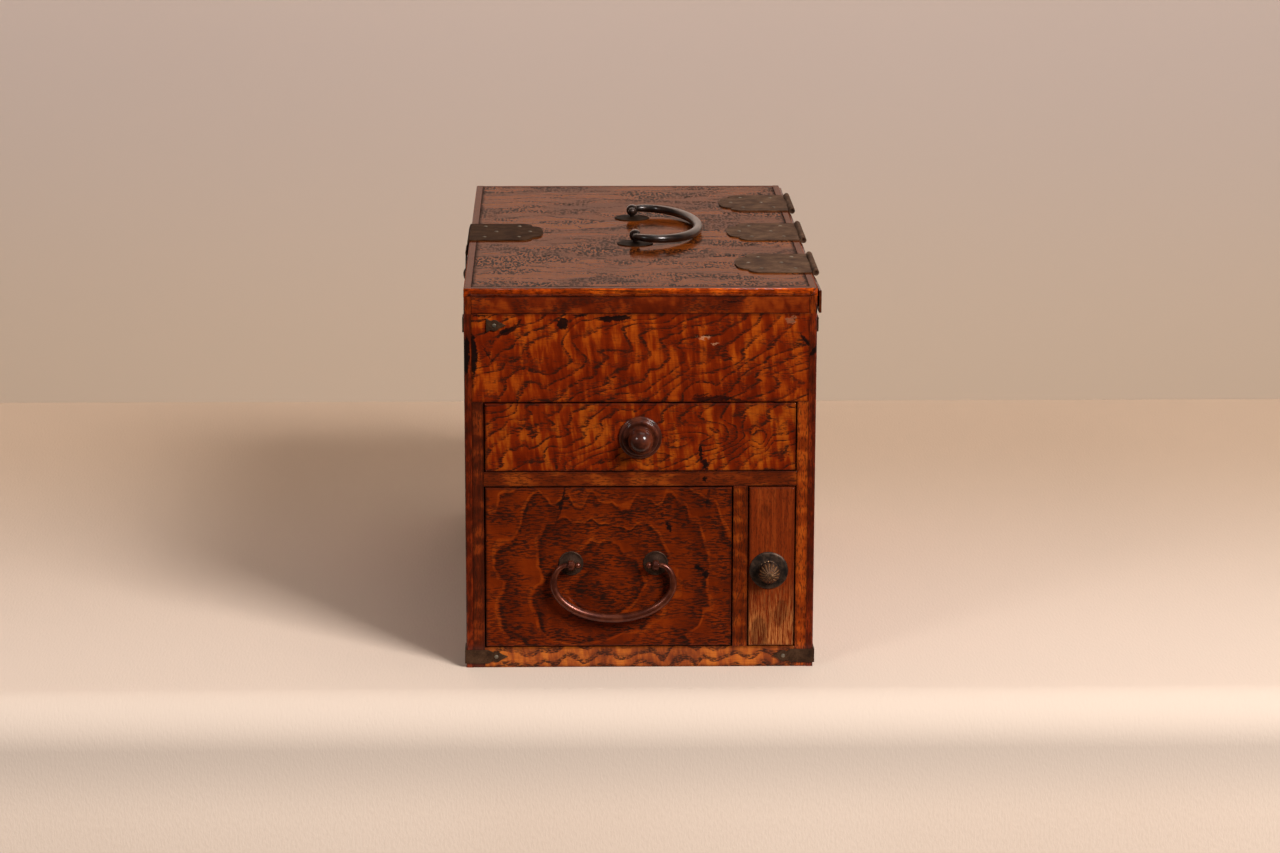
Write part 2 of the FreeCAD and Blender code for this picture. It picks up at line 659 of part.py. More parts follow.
hasp_plate = plate("hasp_top", FreeCAD.Rotation(ABOUT_Z, -90), (left, 0, lid_top),
                   leaf_steps(hasp_width, hasp_length, hasp_shoulder), iron)
bend_radius = (hasp_bulge * hasp_bulge + hasp_drop * hasp_drop / 4) / (2 * hasp_bulge)
bend_centre = bend_radius - hasp_bulge
hasp_side = plate("hasp_side", FRONT, (left, hasp_width / 2, lid_top), [
    (0, iron),
    (-iron, 0, 0, 0, 1),
    (-iron, -hasp_drop, bend_centre - iron, -hasp_drop / 2, 1),
    (0, -hasp_drop),
    (0, 0, bend_centre, -hasp_drop / 2, -1),
], hasp_width)
tongue_half = tongue_width / 2
knuckle_half = hasp_knuckle / 2
end_knuckle = tongue_half - knuckle_half - knuckle_gap
hasp_rolls = [rod(f"hasp_roll_{i}", BACK, (hasp_x, y, hasp_z), hasp_roll_radius, end_knuckle)
              for i, y in enumerate((-tongue_half, knuckle_half + knuckle_gap))]
hasp_notch = block("hasp_notch", (hasp_x - hasp_roll_radius, left),
                   (-(knuckle_half + knuckle_gap), knuckle_half + knuckle_gap),
                   (hasp_z - hasp_roll_radius, hasp_z + hasp_roll_radius + knuckle_gap))
hasp_bore_radius = hasp_pin_radius + fit
hasp_bore = rod("hasp_bore", BACK, (hasp_x, -hasp_width, hasp_z), hasp_bore_radius, hasp_width * 2)
node(cut("hasp_plate", join("hasp_blank", hasp_plate, hasp_side, *hasp_rolls), hasp_notch, hasp_bore),
     "hasp_plate")
node(rod("hasp_pin", BACK, (hasp_x, -tongue_half, hasp_z), hasp_pin_radius, tongue_width), "hasp_pin")

tongue_shoulder = tongue_length - tongue_corner
tongue_round = (tongue_half * tongue_half + tongue_corner * tongue_corner) / (2 * tongue_corner)
tongue_face = hasp_x - hasp_roll_radius
tongue_plate = plate("tongue_plate", LEFT, (tongue_face + iron, 0, hasp_z), [
    (-knuckle_half, 0),
    (-knuckle_half, -hasp_roll_radius),
    (-tongue_half, -tongue_corner),
    (-tongue_half, -tongue_shoulder),
    (tongue_half, -tongue_shoulder, 0, tongue_round - tongue_length, 1),
    (tongue_half, -tongue_corner),
    (knuckle_half, -hasp_roll_radius),
    (knuckle_half, 0),
], iron)
tongue_roll = rod("tongue_roll", BACK, (hasp_x, -knuckle_half, hasp_z), hasp_roll_radius, hasp_knuckle)
tongue_bore = rod("tongue_bore", BACK, (hasp_x, -hasp_width, hasp_z), hasp_bore_radius, hasp_width * 2)
node(cut("hasp_tongue", join("tongue_blank", tongue_plate, tongue_roll), tongue_bore), "hasp_tongue")
button_curve = (button_radius * button_radius + button_rise * button_rise) / (2 * button_rise)
node(turned("hasp_button", LEFT, (tongue_face, 0, loop_z), [
    (button_radius, 0),
    (0, button_rise, 0, button_rise - button_curve, 1),
    (0, 0),
]), "hasp_button")
loop_blank = block("loop_blank", (tongue_face + iron, left + loop_reach), (-loop_width / 2, loop_width / 2),
                   (loop_z - loop_height / 2, loop_z + loop_height / 2))
loop_bore = rod("loop_bore", BACK, (left + loop_hole, -loop_width, loop_z), loop_hole, loop_width * 2)
node(cut("hasp_loop", loop_blank, loop_bore), "hasp_loop")

lock_top = parting - case_leaf_drop
lock_blank = block("lock_blank", (left - iron, left), (-lock_width / 2, lock_width / 2),
                   (lock_top - lock_height, lock_top))
lock_notch = block("lock_notch", (left - iron, left),
                   (-(loop_width / 2 + slot_gap), loop_width / 2 + slot_gap), (slot_bottom, lock_top))
node(cut("lock_plate", lock_blank, lock_notch), "lock_plate")


# Corner irons: two arms round an upright corner, each with a neck, a lobe and a pointed tip

def arm_steps(way, start):
    """Outline of one arm; way is the side it runs to, start where it begins."""
    half = strap_height / 2
    neck = strap_neck / 2
    neck_x = strap_nail - root(strap_lobe * strap_lobe - neck * neck)
    shoulder_x = strap_nail + strap_lobe * cosine(strap_point)
    shoulder_z = strap_lobe * sine(strap_point)
    return [
        (way * start, -half),
        (way * strap_straight, -half),
        (way * neck_x, -neck),
        (way * shoulder_x, -shoulder_z, way * strap_nail, 0, way),
        (way * strap_tip, 0),
        (way * shoulder_x, shoulder_z),
        (way * neck_x, neck, way * strap_nail, 0, way),
        (way * strap_straight, half),
        (way * start, half),
    ]


def strap(name, x_side, y_side, z_middle):
    """An iron round one corner: its two arms run from the corner's edge over the end and the side."""
    edge_x = right if x_side > 0 else left
    edge_y = front if y_side < 0 else back
    end_facing = FRONT if y_side < 0 else BACK
    side_facing = RIGHT if x_side > 0 else LEFT
    end_way = -x_side if y_side < 0 else x_side
    side_way = -y_side if x_side > 0 else y_side
    end_arm = plate(f"{name}_end", end_facing, (edge_x, edge_y, z_middle), arm_steps(end_way, -iron), iron)
    side_arm = plate(f"{name}_side", side_facing, (edge_x, edge_y, z_middle), arm_steps(side_way, 0), iron)
    return join(name, end_arm, side_arm)


CORNERS = {"front_left": (-1, -1), "front_right": (1, -1), "back_left": (-1, 1), "back_right": (1, 1)}
lower_z = strap_base + strap_height / 2
upper_z = parting - upper_strap_drop - strap_height / 2
node(group("bottom_corner_irons", [
    strap(f"bottom_iron_{name}", x_side, y_side, lower_z)
    for name, (x_side, y_side) in CORNERS.items()]), "bottom_corner_irons")

# The front upper irons are broken: the left one has lost the middle of its front arm, and the right
# one its whole front arm.
remnant = plate("upper_iron_tip", FRONT, (left, front, upper_z), arm_steps(1, 0), iron)
remnant_loss = block("upper_iron_loss", (left - iron, left + strap_straight), (front - iron, front),
                     (upper_z - strap_height, upper_z + strap_height))
side_arms = [
    plate("upper_iron_left", LEFT, (left, front, upper_z), arm_steps(-1, 0), iron),
    plate("upper_iron_right", RIGHT, (right, front, upper_z), arm_steps(1, 0), iron),
]
node(group("upper_corner_irons", [
    cut("upper_iron_remnant", remnant, remnant_loss),
    *side_arms,
    strap("upper_iron_back_left", -1, 1, upper_z),
    strap("upper_iron_back_right", 1, 1, upper_z),
]), "upper_corner_irons")


# Nails of the case and of the lid: domed heads on the irons

def nail(name, facing, where, radius=nail_radius):
    """A nail's hand-forged head, with eight small facets round it."""
    head = doc.addObject("Part::Prism", name)
    head.Polygon = 8
    bind(head, "Circumradius", radius)
    bind(head, "Height", nail_rise)
    return place(head, facing, where)


def strap_nails():
    """A nail in the lobe of every arm that is left."""
    heads = []
    for level, height in (("lower", lower_z), ("upper", upper_z)):
        for corner, (x_side, y_side) in CORNERS.items():
            edge_x = right if x_side > 0 else left
            edge_y = front if y_side < 0 else back
            side_spot = (edge_x + x_side * iron, edge_y - y_side * strap_nail, height)
            heads.append(nail(f"{level}_{corner}_side_nail", RIGHT if x_side > 0 else LEFT, side_spot))
            if (level, corner) != ("upper", "front_right"):
                end_spot = (edge_x - x_side * strap_nail, edge_y + y_side * iron, height)
                heads.append(nail(f"{level}_{corner}_end_nail", FRONT if y_side < 0 else BACK, end_spot))
    return heads


def leaf_nails(length, shoulder):
    """Six places on a leaf, (across, along): two by the bend, one in the middle, three at the end."""
    outer = shoulder - leaf_nail_shoulder
    return [
        (-leaf_nail_across, leaf_nail_bend),
        (leaf_nail_across, leaf_nail_bend),
        (0, leaf_nail_middle),
        (-leaf_nail_across, outer),
        (leaf_nail_across, outer),
        (0, length - leaf_nail_tip),
    ]


lid_nails = []
case_nails = strap_nails()
for i, middle in enumerate(hinge_places):
    for j, (across, along) in enumerate(leaf_nails(leaf_length, leaf_shoulder)):
        lid_nails.append(nail(f"lid_nail_{i}{j}", UP, (right - along, middle + across, lid_top + iron)))
        case_nails.append(nail(f"case_nail_{i}{j}", RIGHT,
                               (right + iron, middle + across, parting - case_leaf_drop - along)))
for j, (across, along) in enumerate(leaf_nails(hasp_length, hasp_shoulder)):
    lid_nails.append(nail(f"hasp_nail_{j}", UP, (left + along, across, lid_top + iron)))
lock_nail_y = lock_width / 2 - lock_nail_inset
for i, y in enumerate((-lock_nail_y, lock_nail_y)):
    for j, z in enumerate((lock_top - lock_nail_inset, lock_top - lock_height + lock_nail_inset)):
        case_nails.append(nail(f"lock_nail_{i}{j}", LEFT, (left - iron, y, z), lock_nail))
node(group("case_nails", case_nails), "case_nails")
node(group("lid_nails", lid_nails), "lid_nails")


# Bails and their eyes

def bail(name, span, thin, thick, half_width, widest, reach):
    """A bail whose ends turn inwards through two eyes; it lies along local X and reaches along local Y.

    Each half leaves its eye, turns through a quarter ellipse to the widest point and then follows
    a larger quarter ellipse to the grip, growing from thin to thick.
    """
    rod_radius = float(thin)
    ball = float(thin + ball_excess)
    past_eye = float(eye_length / 2 + ball_gap)
    lead, end = float(span) / 2 + past_eye, float(span) / 2 - past_eye - ball
    wide, knee, deep = float(half_width), float(widest), float(reach)
    elbow_steps, sweep_steps = 5, 7
    stations = [(lead, 0.0, 0.0)]
    for step in range(1, elbow_steps + 1):
        angle = math.pi / 2 * step / elbow_steps
        stations.append((lead + (wide - lead) * math.sin(angle), knee * (1 - math.cos(angle)),
                         math.atan2(knee * math.sin(angle), (wide - lead) * math.cos(angle))))
    for step in range(1, sweep_steps + 1):
        angle = math.pi / 2 * step / sweep_steps
        stations.append((wide * math.cos(angle), knee + (deep - knee) * math.sin(angle),
                         math.atan2((deep - knee) * math.cos(angle), -wide * math.sin(angle))))
    grip = len(stations) - 1
    stations += [(-x, y, 2 * math.pi - heading) for x, y, heading in reversed(stations[:-1])]
    sections = []
    for number, (x, y, heading) in enumerate(stations):
        grown = (grip - abs(number - grip)) / grip
        circle = Part.makeCircle(rod_radius + float(thick - thin) * math.sin(math.pi / 2 * grown))
        along = FreeCAD.Vector(math.cos(heading), math.sin(heading), 0)
        level = FreeCAD.Rotation(ABOUT_Z, along.cross(ABOUT_Z), along, "ZXY")
        circle.Placement = FreeCAD.Placement(FreeCAD.Vector(x, y, 0), level)
        sections.append(Part.Wire([circle]))
    bow = Part.makeLoft(sections, True, True)
    ends = []
    for side in (-1, 1):
        inner = FreeCAD.Vector(side * end, 0, 0)
        ends.append(Part.makeCylinder(rod_radius, lead - end, inner, FreeCAD.Vector(side, 0, 0)))
        ends.append(Part.makeSphere(ball, inner))
    swung = doc.addObject("Part::Feature", name)
    swung.Shape = bow.fuse(ends).removeSplitter()
    return swung


def rosettes(name, facing, places, radius, hole):
    """Round plates under the eyes, each rising to its middle."""
    steps = [
        (radius, 0),
        (radius, rosette_rim),
        (hole + rosette_flat, rosette_rise),
        (hole, rosette_rise),
        (hole, 0),
    ]
    return group(name, [turned(f"{name}_{i}", facing, spot, steps) for i, spot in enumerate(places)])


def eye_post(name, facing, axis_facing, seat, axis_point, axis_start, bore, board, height):
    """An eye on a post that passes through its board and is riveted over inside."""
    post = rod(f"{name}_stem", facing, seat, stem_radius, height + board)
    clinch = rod(f"{name}_clinch", facing, axis_point, clinch_radius, clinch_height)
    ring = rod(f"{name}_ring", axis_facing, axis_start, bore + eye_wall, eye_length)
    barrel = eased(f"{name}_barrel", ring, eye_edge, lambda edge: edge.Closed)
    blank = join(f"{name}_blank", post, clinch, barrel)
    return cut(name, blank, rod(f"{name}_bore", axis_facing, axis_start, bore, eye_length))


# Carrying bail, its axis along Y, lying over to the right
carry_bore = carry_thin + fit
carry_posts = [
    eye_post(f"carry_post_{i}", UP, BACK, (0, y, lid_panel_base), (0, y, lid_panel_base - clinch_height),
             (0, y - eye_length / 2, carry_z), carry_bore, lid_bead_height, carry_height)
    for i, y in enumerate(carry_eyes)]
node(group("carry_posts", carry_posts), "carry_posts")
node(rosettes("carry_rosettes", UP, [(0, y, lid_top) for y in carry_eyes], carry_rosette,
              stem_radius + fit), "carry_rosettes")
carry_bail = bail("carry_bail", carry_span, carry_thin, carry_thick, carry_half_width, carry_widest,
                  carry_reach)
carry_fall = float(carry_height - carry_thick - carry_rest_gap)
carry_tilt = math.degrees(math.asin(carry_fall / float(carry_reach)))
lying = FreeCAD.Rotation(FreeCAD.Vector(0, 1, 0), carry_tilt) * FreeCAD.Rotation(ABOUT_Z, -90)
node(place(carry_bail, lying, (0, carry_offset, carry_z)), "carry_bail")


# Drawers: half-blind rebates at the front, comb joints at the back, bottom nailed under

def drawer(name, x_opening, z_opening, fingers, holes):
    """One drawer that fills its opening; holes are bores through its front."""
    x_low, x_high = x_opening[0] + drawer_side_gap, x_opening[1] - drawer_side_gap
    z_low, z_high = z_opening[0] + drawer_floor_gap, z_opening[1] - drawer_top_gap
    wall_base = z_low + drawer_bottom
    wall_front = front + drawer_lip
    drawer_back = end_front - drawer_stop_gap
    rebate_y = (wall_front, front + drawer_front)
    blank = block(f"{name}_front_blank", (x_low, x_high), (front, front + drawer_front), (z_low, z_high))
    face = eased(f"{name}_front_face", blank, drawer_edge, lambda edge: at(edge, "y", front))
    rebates = [
        block(f"{name}_rebate_left", (x_low, x_low + drawer_wall), rebate_y, (z_low, z_high)),
        block(f"{name}_rebate_right", (x_high - drawer_wall, x_high), rebate_y, (z_low, z_high)),
        block(f"{name}_rebate_bottom", (x_low, x_high), rebate_y, (z_low, wall_base)),
    ]
    node(cut(f"{name}_front", face, *rebates, *holes), f"{name}_front")

    finger = (z_high - wall_base) / fingers
    corner_y = (drawer_back - drawer_wall, drawer_back)
    side_spans = {"left": (x_low, x_low + drawer_wall), "right": (x_high - drawer_wall, x_high)}
    sides = []
    for side, span in side_spans.items():
        board = block(f"{name}_{side}_blank", span, (wall_front, drawer_back), (wall_base, z_high))
        sockets = [block(f"{name}_{side}_socket_{i}", span, corner_y,
                         (wall_base + finger * i, wall_base + finger * (i + 1)))
                   for i in range(1, fingers, 2)]
        sides.append(cut(f"{name}_{side}_side", board, *sockets))
    node(group(f"{name}_sides", sides), f"{name}_sides")
    back_blank = block(f"{name}_back_blank", (x_low, x_high), corner_y, (wall_base, z_high))
    back_sockets = [block(f"{name}_back_socket_{side}{i}", span, corner_y,
                          (wall_base + finger * i, wall_base + finger * (i + 1)))
                    for side, span in side_spans.items() for i in range(0, fingers, 2)]
    node(cut(f"{name}_back", back_blank, *back_sockets), f"{name}_back")
    node(block(f"{name}_bottom", (x_low, x_high), (wall_front, drawer_back), (z_low, wall_base)),
         f"{name}_bottom")


def bolt_hole(name, x, z, radius, depth):
    return rod(name, FRONT, (x, front + depth, z), radius, depth)


knob_x = 0
flower_x = (divider_right + inside) / 2 - flower_offset
drop_middle = (divider_left - inside) / 2 + drop_offset
drop_eyes = [drop_middle - drop_span / 2, drop_middle + drop_span / 2]

drawer("shallow_drawer", (-inside, inside), (shelf_top, compartment_base), 3,
       [bolt_hole("knob_hole", knob_x, knob_height, knob_shank + fit, knob_shank_depth)])
drawer("deep_drawer", (-inside, divider_left), (base_height, deep_top), 5,
       [bolt_hole(f"drop_hole_{i}", x, drop_height, stem_radius + fit, drawer_front)
        for i, x in enumerate(drop_eyes)])
drawer("narrow_drawer", (divider_right, inside), (base_height, deep_top), 5,
       [bolt_hole("flower_hole", flower_x, flower_height, knob_shank + fit, knob_shank_depth)])


# Drop bail on the deep drawer, its axis along X, hanging down
drop_y = front - drop_stand
drop_bore = drop_thin + fit
drop_posts = [
    eye_post(f"drop_post_{i}", FRONT, RIGHT, (x, front + drawer_front, drop_height),
             (x, front + drawer_front + clinch_height, drop_height),
             (x - eye_length / 2, drop_y, drop_height), drop_bore, drawer_front, drop_stand)
    for i, x in enumerate(drop_eyes)]
node(group("drop_posts", drop_posts), "drop_posts")
node(rosettes("drop_rosettes", FRONT, [(x, front, drop_height) for x in drop_eyes], drop_rosette,
              stem_radius + fit), "drop_rosettes")
drop_bail = bail("drop_bail", drop_span, drop_thin, drop_thick, drop_half_width, drop_widest, drop_reach)
hanging = FRONT * FreeCAD.Rotation(ABOUT_Z, 180)
node(place(drop_bail, hanging, (drop_middle, drop_y, drop_height)), "drop_bail")


# Knobs: their shanks are glued into the drawer fronts

knob_ring_top = knob_base_depth + knob_ring_depth
knob_neck_top = knob_ring_top + knob_neck_length
knob_centre = knob_neck_top + root(knob_ball * knob_ball - knob_neck * knob_neck)
node(turned("turned_knob", FRONT, (knob_x, front, knob_height), [
    (knob_shank, -knob_shank_depth),
    (knob_shank, 0),
    (knob_base, 0),
    (knob_base, knob_base_depth - knob_edge),
    (knob_base - knob_edge, knob_base_depth),
    (knob_ring, knob_base_depth),
    (knob_ring, knob_ring_top - knob_edge),
    (knob_ring - knob_edge, knob_ring_top),
    (knob_neck, knob_ring_top),
    (knob_neck, knob_neck_top),
    (0, knob_centre + knob_ball, 0, knob_centre, 1),
    (0, -knob_shank_depth),
]), "turned_knob")

flower_centre = flower_base_depth + root(flower_ball * flower_ball - flower_neck * flower_neck)
flower_blank = turned("flower_blank", FRONT, (flower_x, front, flower_height), [
    (knob_shank, -knob_shank_depth),
    (knob_shank, 0),
    (flower_base, 0),
    (flower_base, flower_base_depth - knob_edge),
    (flower_base - knob_edge, flower_base_depth),
    (flower_neck, flower_base_depth),
    (0, flower_centre + flower_ball, 0, flower_centre, 1),
    (0, -knob_shank_depth),
])
petal_grooves = []
groove_out = flower_ball + petal_groove - petal_depth
for step in range(int(float(petal_count))):
    turn = 360 * step / petal_count
    along = groove_out * cosine(petal_slant) + flower_ball * sine(petal_slant)
    across = groove_out * sine(petal_slant) - flower_ball * cosine(petal_slant)
    slanted = FreeCAD.Rotation(FreeCAD.Vector(0, 1, 0), float(turn)) * FreeCAD.Rotation(
        FreeCAD.Vector(1, 0, 0), -float(petal_slant))
    start = (flower_x + across * sine(turn), front - flower_centre - along,
             flower_height + across * cosine(turn))
    petal_grooves.append(rod(f"petal_groove_{step}", slanted, start, petal_groove, flower_ball * 2))
node(cut("chrysanthemum_knob", flower_blank, *petal_grooves), "chrysanthemum_knob")


# Check every object, then write one file for each node

doc.recompute()
for thing in doc.Objects:
    if "Invalid" in thing.State or "Error" in thing.State:
        raise RuntimeError(f"{thing.Name} failed: {thing.State}")
for name, thing in nodes.items():
    if thing.Label != name:
        raise RuntimeError(f"{name} got the label {thing.Label}")
    if thing.Shape.isNull() or not thing.Shape.isValid():
        raise RuntimeError(f"{name} has no valid shape")

os.makedirs("parts", exist_ok=True)
for name, thing in nodes.items():
    thing.Shape.exportStep(f"parts/{name}.step")
print(f"{len(nodes)} nodes written")
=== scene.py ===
import json
import math
import random

import bmesh
import bpy
from mathutils import Matrix, Vector


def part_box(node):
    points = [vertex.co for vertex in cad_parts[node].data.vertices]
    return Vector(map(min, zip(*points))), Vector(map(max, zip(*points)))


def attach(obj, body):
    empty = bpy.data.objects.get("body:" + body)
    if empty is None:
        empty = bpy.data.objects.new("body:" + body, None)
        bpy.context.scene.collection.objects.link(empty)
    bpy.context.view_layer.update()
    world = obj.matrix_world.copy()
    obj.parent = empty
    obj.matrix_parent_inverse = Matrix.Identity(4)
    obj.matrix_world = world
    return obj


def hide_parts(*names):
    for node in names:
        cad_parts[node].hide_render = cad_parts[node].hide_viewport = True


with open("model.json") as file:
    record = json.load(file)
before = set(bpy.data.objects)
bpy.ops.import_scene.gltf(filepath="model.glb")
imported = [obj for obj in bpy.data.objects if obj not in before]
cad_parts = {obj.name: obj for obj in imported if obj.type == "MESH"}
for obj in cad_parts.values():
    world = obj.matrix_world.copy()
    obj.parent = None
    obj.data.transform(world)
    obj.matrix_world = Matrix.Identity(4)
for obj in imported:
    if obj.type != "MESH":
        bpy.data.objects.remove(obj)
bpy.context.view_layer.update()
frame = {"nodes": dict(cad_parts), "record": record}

nodes = frame["nodes"]
bodyOf = {node: body for body, members in frame["record"]["behaviour"]["bodies"].items() for node in members}
mm = 0.001
print("frame loaded:", len(nodes), "nodes")


# shader helpers

class Wire:
    # one output of a node, so that shader sums read as plain sums

    def __init__(self, finish, socket):
        self.finish = finish
        self.socket = socket

    def single(self, operation):
        return self.finish.node("ShaderNodeMath", {"operation": operation}, {0: self})

    def both(self, operation, first, second):
        # values go through Math, and vectors through Vector Math
        kinds = [item.socket.type for item in (first, second) if isinstance(item, Wire)]
        if set(kinds) == {"VALUE"}:
            return self.finish.node("ShaderNodeMath", {"operation": operation}, {0: first, 1: second})
        for scale, vector in ((second, first), (first, second)):
            single = scale.socket.type == "VALUE" if isinstance(scale, Wire) else not isinstance(scale, tuple)
            if operation == "MULTIPLY" and single:
                return self.finish.node("ShaderNodeVectorMath", {"operation": "SCALE"},
                                        {0: vector, "Scale": scale})
        return self.finish.node("ShaderNodeVectorMath", {"operation": operation}, {0: first, 1: second})

    def __add__(self, other):
        return self.both("ADD", self, other)

    def __radd__(self, other):
        return self.both("ADD", other, self)

    def __sub__(self, other):
        return self.both("SUBTRACT", self, other)

    def __rsub__(self, other):
        return self.both("SUBTRACT", other, self)

    def __mul__(self, other):
        return self.both("MULTIPLY", self, other)

    def __rmul__(self, other):
        return self.both("MULTIPLY", other, self)

    def __truediv__(self, other):
        return self.both("DIVIDE", self, other)

    def __rtruediv__(self, other):
        return self.both("DIVIDE", other, self)

    def __pow__(self, other):
        return self.both("POWER", self, other)

    def __rpow__(self, other):
        return self.both("POWER", other, self)

    def most(self, other):
        return self.both("MAXIMUM", self, other)

    def least(self, other):
        return self.both("MINIMUM", self, other)

    def angle(self, along):
        return self.both("ARCTAN2", self, along)

    def fraction(self):
        return self.single("FRACT")

    def size(self):
        return self.single("ABSOLUTE")

    def sine(self):
        return self.single("SINE")

    def rise(self, low, high):
        # 0 below low, 1 above high, smooth between; low above high turns it round
        return self.finish.node("ShaderNodeMapRange", {"interpolation_type": "SMOOTHSTEP"},
                                {"Value": self, "From Min": low, "From Max": high})


class Finish:
    # the nodes of one material or world, and the calls that add to them

    def __init__(self, name, family=bpy.data.materials):
        self.owner = family.new(name)
        self.owner.use_nodes = True
        self.tree = self.owner.node_tree
        self.tree.nodes.clear()

    def node(self, kind, settings=None, sockets=None, out=0):
        made = self.tree.nodes.new(kind)
        for name, value in (settings or {}).items():
            if name == "stops":
                ramp = made.color_ramp
                ramp.elements.remove(ramp.elements[1])
                ramp.elements[0].position, ramp.elements[0].color = value[0]
                for position, colour in value[1:]:
                    ramp.elements.new(position).color = colour
            else:
                setattr(made, name, value)
        for name, value in (sockets or {}).items():
            if isinstance(value, Wire):
                self.tree.links.new(value.socket, made.inputs[name])
            else:
                made.inputs[name].default_value = value
        return Wire(self, made.outputs[out]) if made.outputs else None

    def place(self, axes="xyz"):
        # the point on the piece in millimetres, its parts in this order; the grain runs along the first
        point = self.node("ShaderNodeTexCoord", out="Object") * (1 / mm)
        if axes == "xyz":
            return point
        split = dict(zip("xyz", self.parts(point)))
        return self.vector(*[split[axis] for axis in axes])

    def parts(self, vector):
        split = self.node("ShaderNodeSeparateXYZ", sockets={0: vector})
        outputs = split.socket.node.outputs
        return [Wire(self, outputs[i]) for i in range(3)]

    def vector(self, x, y, z):
        return self.node("ShaderNodeCombineXYZ", sockets={0: x, 1: y, 2: z})

    def noise(self, point, size, detail=2.0, rough=0.5, bend=0.0, out=0):
        # size is the length of a wave in millimetres, one for all or one for each part of the point
        sizes = size if isinstance(size, tuple) else (size, size, size)
        return self.node("ShaderNodeTexNoise", sockets={
            "Vector": point * tuple(1 / length for length in sizes), "Scale": 1.0, "Detail": detail,
            "Roughness": rough, "Distortion": bend}, out=out)

    def sway(self, point, size, reach):
        # a wandering vector, up to half of reach either way
        return (self.noise(point, size, out=1) - (0.5, 0.5, 0.5)) * reach

    def cells(self, point, size, feature="F1"):
        return self.node("ShaderNodeTexVoronoi", {"feature": feature},
                         {"Vector": point * (1 / size, 1 / size, 1 / size), "Scale": 1.0})

    def shades(self, factor, tones, middle=0.5):
        # a ramp through tones spread from 0 to 1, the second of three at middle
        places = (0.0, middle, 1.0) if len(tones) == 3 else (0.0, 1.0)
        stops = [(at, linear(colour)) for at, colour in zip(places, tones)]
        return self.node("ShaderNodeValToRGB", {"stops": stops}, {0: factor})

    def mix(self, first, second, factor):
        return self.node("ShaderNodeMix", {"data_type": "RGBA"},
                         {0: factor, 6: linear(first), 7: linear(second)}, out=2)

    def spot(self, point, centre, halves, turn=0.0):
        # distance from a spot's centre, 1 at its rim, on the two face axes
        moved = self.node("ShaderNodeMapping", {"vector_type": "TEXTURE"}, {
            "Vector": point, "Location": (*centre, 0), "Rotation": (0, 0, math.radians(turn)),
            "Scale": (*halves, 1e4)})
        return self.node("ShaderNodeVectorMath", {"operation": "LENGTH"}, {0: moved}, out="Value")

    def close(self, colour, rough, height, depth, metal=0.0, coat=0.0, coatRough=0.1, glint=0.5,
              lit=(0, 0, 0)):
        # height is 0 to 1 and depth is its full depth in millimetres
        bump = self.node("ShaderNodeBump", sockets={"Strength": 1, "Distance": depth * mm, "Height": height})
        shader = self.node("ShaderNodeBsdfPrincipled", sockets={
            "Base Color": colour, "Roughness": rough, "Metallic": metal, "Coat Weight": coat,
            "Coat Roughness": coatRough, "Coat IOR": 1.4, "Specular IOR Level": glint, "Normal": bump,
            "Emission Color": linear(lit), "Emission Strength": 1.0})
        self.node("ShaderNodeOutputMaterial", sockets={"Surface": shader})
        return self.owner


def linear(colour):
    # three levels of 0 to 255, as a colour looks, made linear; a wire is let through
    if isinstance(colour, Wire):
        return colour
    levels = [level / 255 for level in colour]
    levels = [level / 12.92 if level <= 0.04045 else ((level + 0.055) / 1.055) ** 2.4 for level in levels]
    return (*levels, 1.0)


raggedRim = {"size": (1 / 0.34, 2, 2), "along": 4.2, "across": 3.0, "from": 1.12, "to": 0.86}


def stained(f, base, colour, point, marks, ragged=1.5):
    # ragged spots of one colour, each (u, v, half length, half width, turn, strength)
    if not marks:
        return base
    rough = f.noise(point, raggedRim["size"], 4, 0.75, out=1) - (0.5, 0.5, 0.5)
    ruffled = point + rough * (ragged * raggedRim["along"], ragged * raggedRim["across"], 0.0)
    found = None
    for u, v, halfLength, halfWidth, turn, strength in marks:
        mark = f.spot(ruffled, (u, v), (halfLength, halfWidth), turn)
        mark = mark.rise(raggedRim["from"], raggedRim["to"]) * strength
        found = mark if found is None else found.most(mark)
    return f.mix(base, colour, found)


edgeRub = {"size": 1 / 0.09, "reach": 1.1}  # how unevenly the dirt and painted shade along an edge are broken up


def edgeShade(f, point, box, reach):
    # 0 on the open face and 1 at the edges of the face whose box is (u0, v0, u1, v1): dirt in the joints,
    # with painted shade along them
    u, v = f.parts(point)[:2]
    u0, v0, u1, v1 = box
    across = (u1 - u0) / 2 - (u - (u0 + u1) / 2).size()
    up = (v1 - v0) / 2 - (v - (v0 + v1) / 2).size()
    rubbed = (f.noise(point, edgeRub["size"], 3, 0.6) - 0.5) * (reach * edgeRub["reach"])
    return (across.least(up) + rubbed).rise(reach, 0.0)


# woods; colours are as they look, 0 to 255, and lengths are millimetres

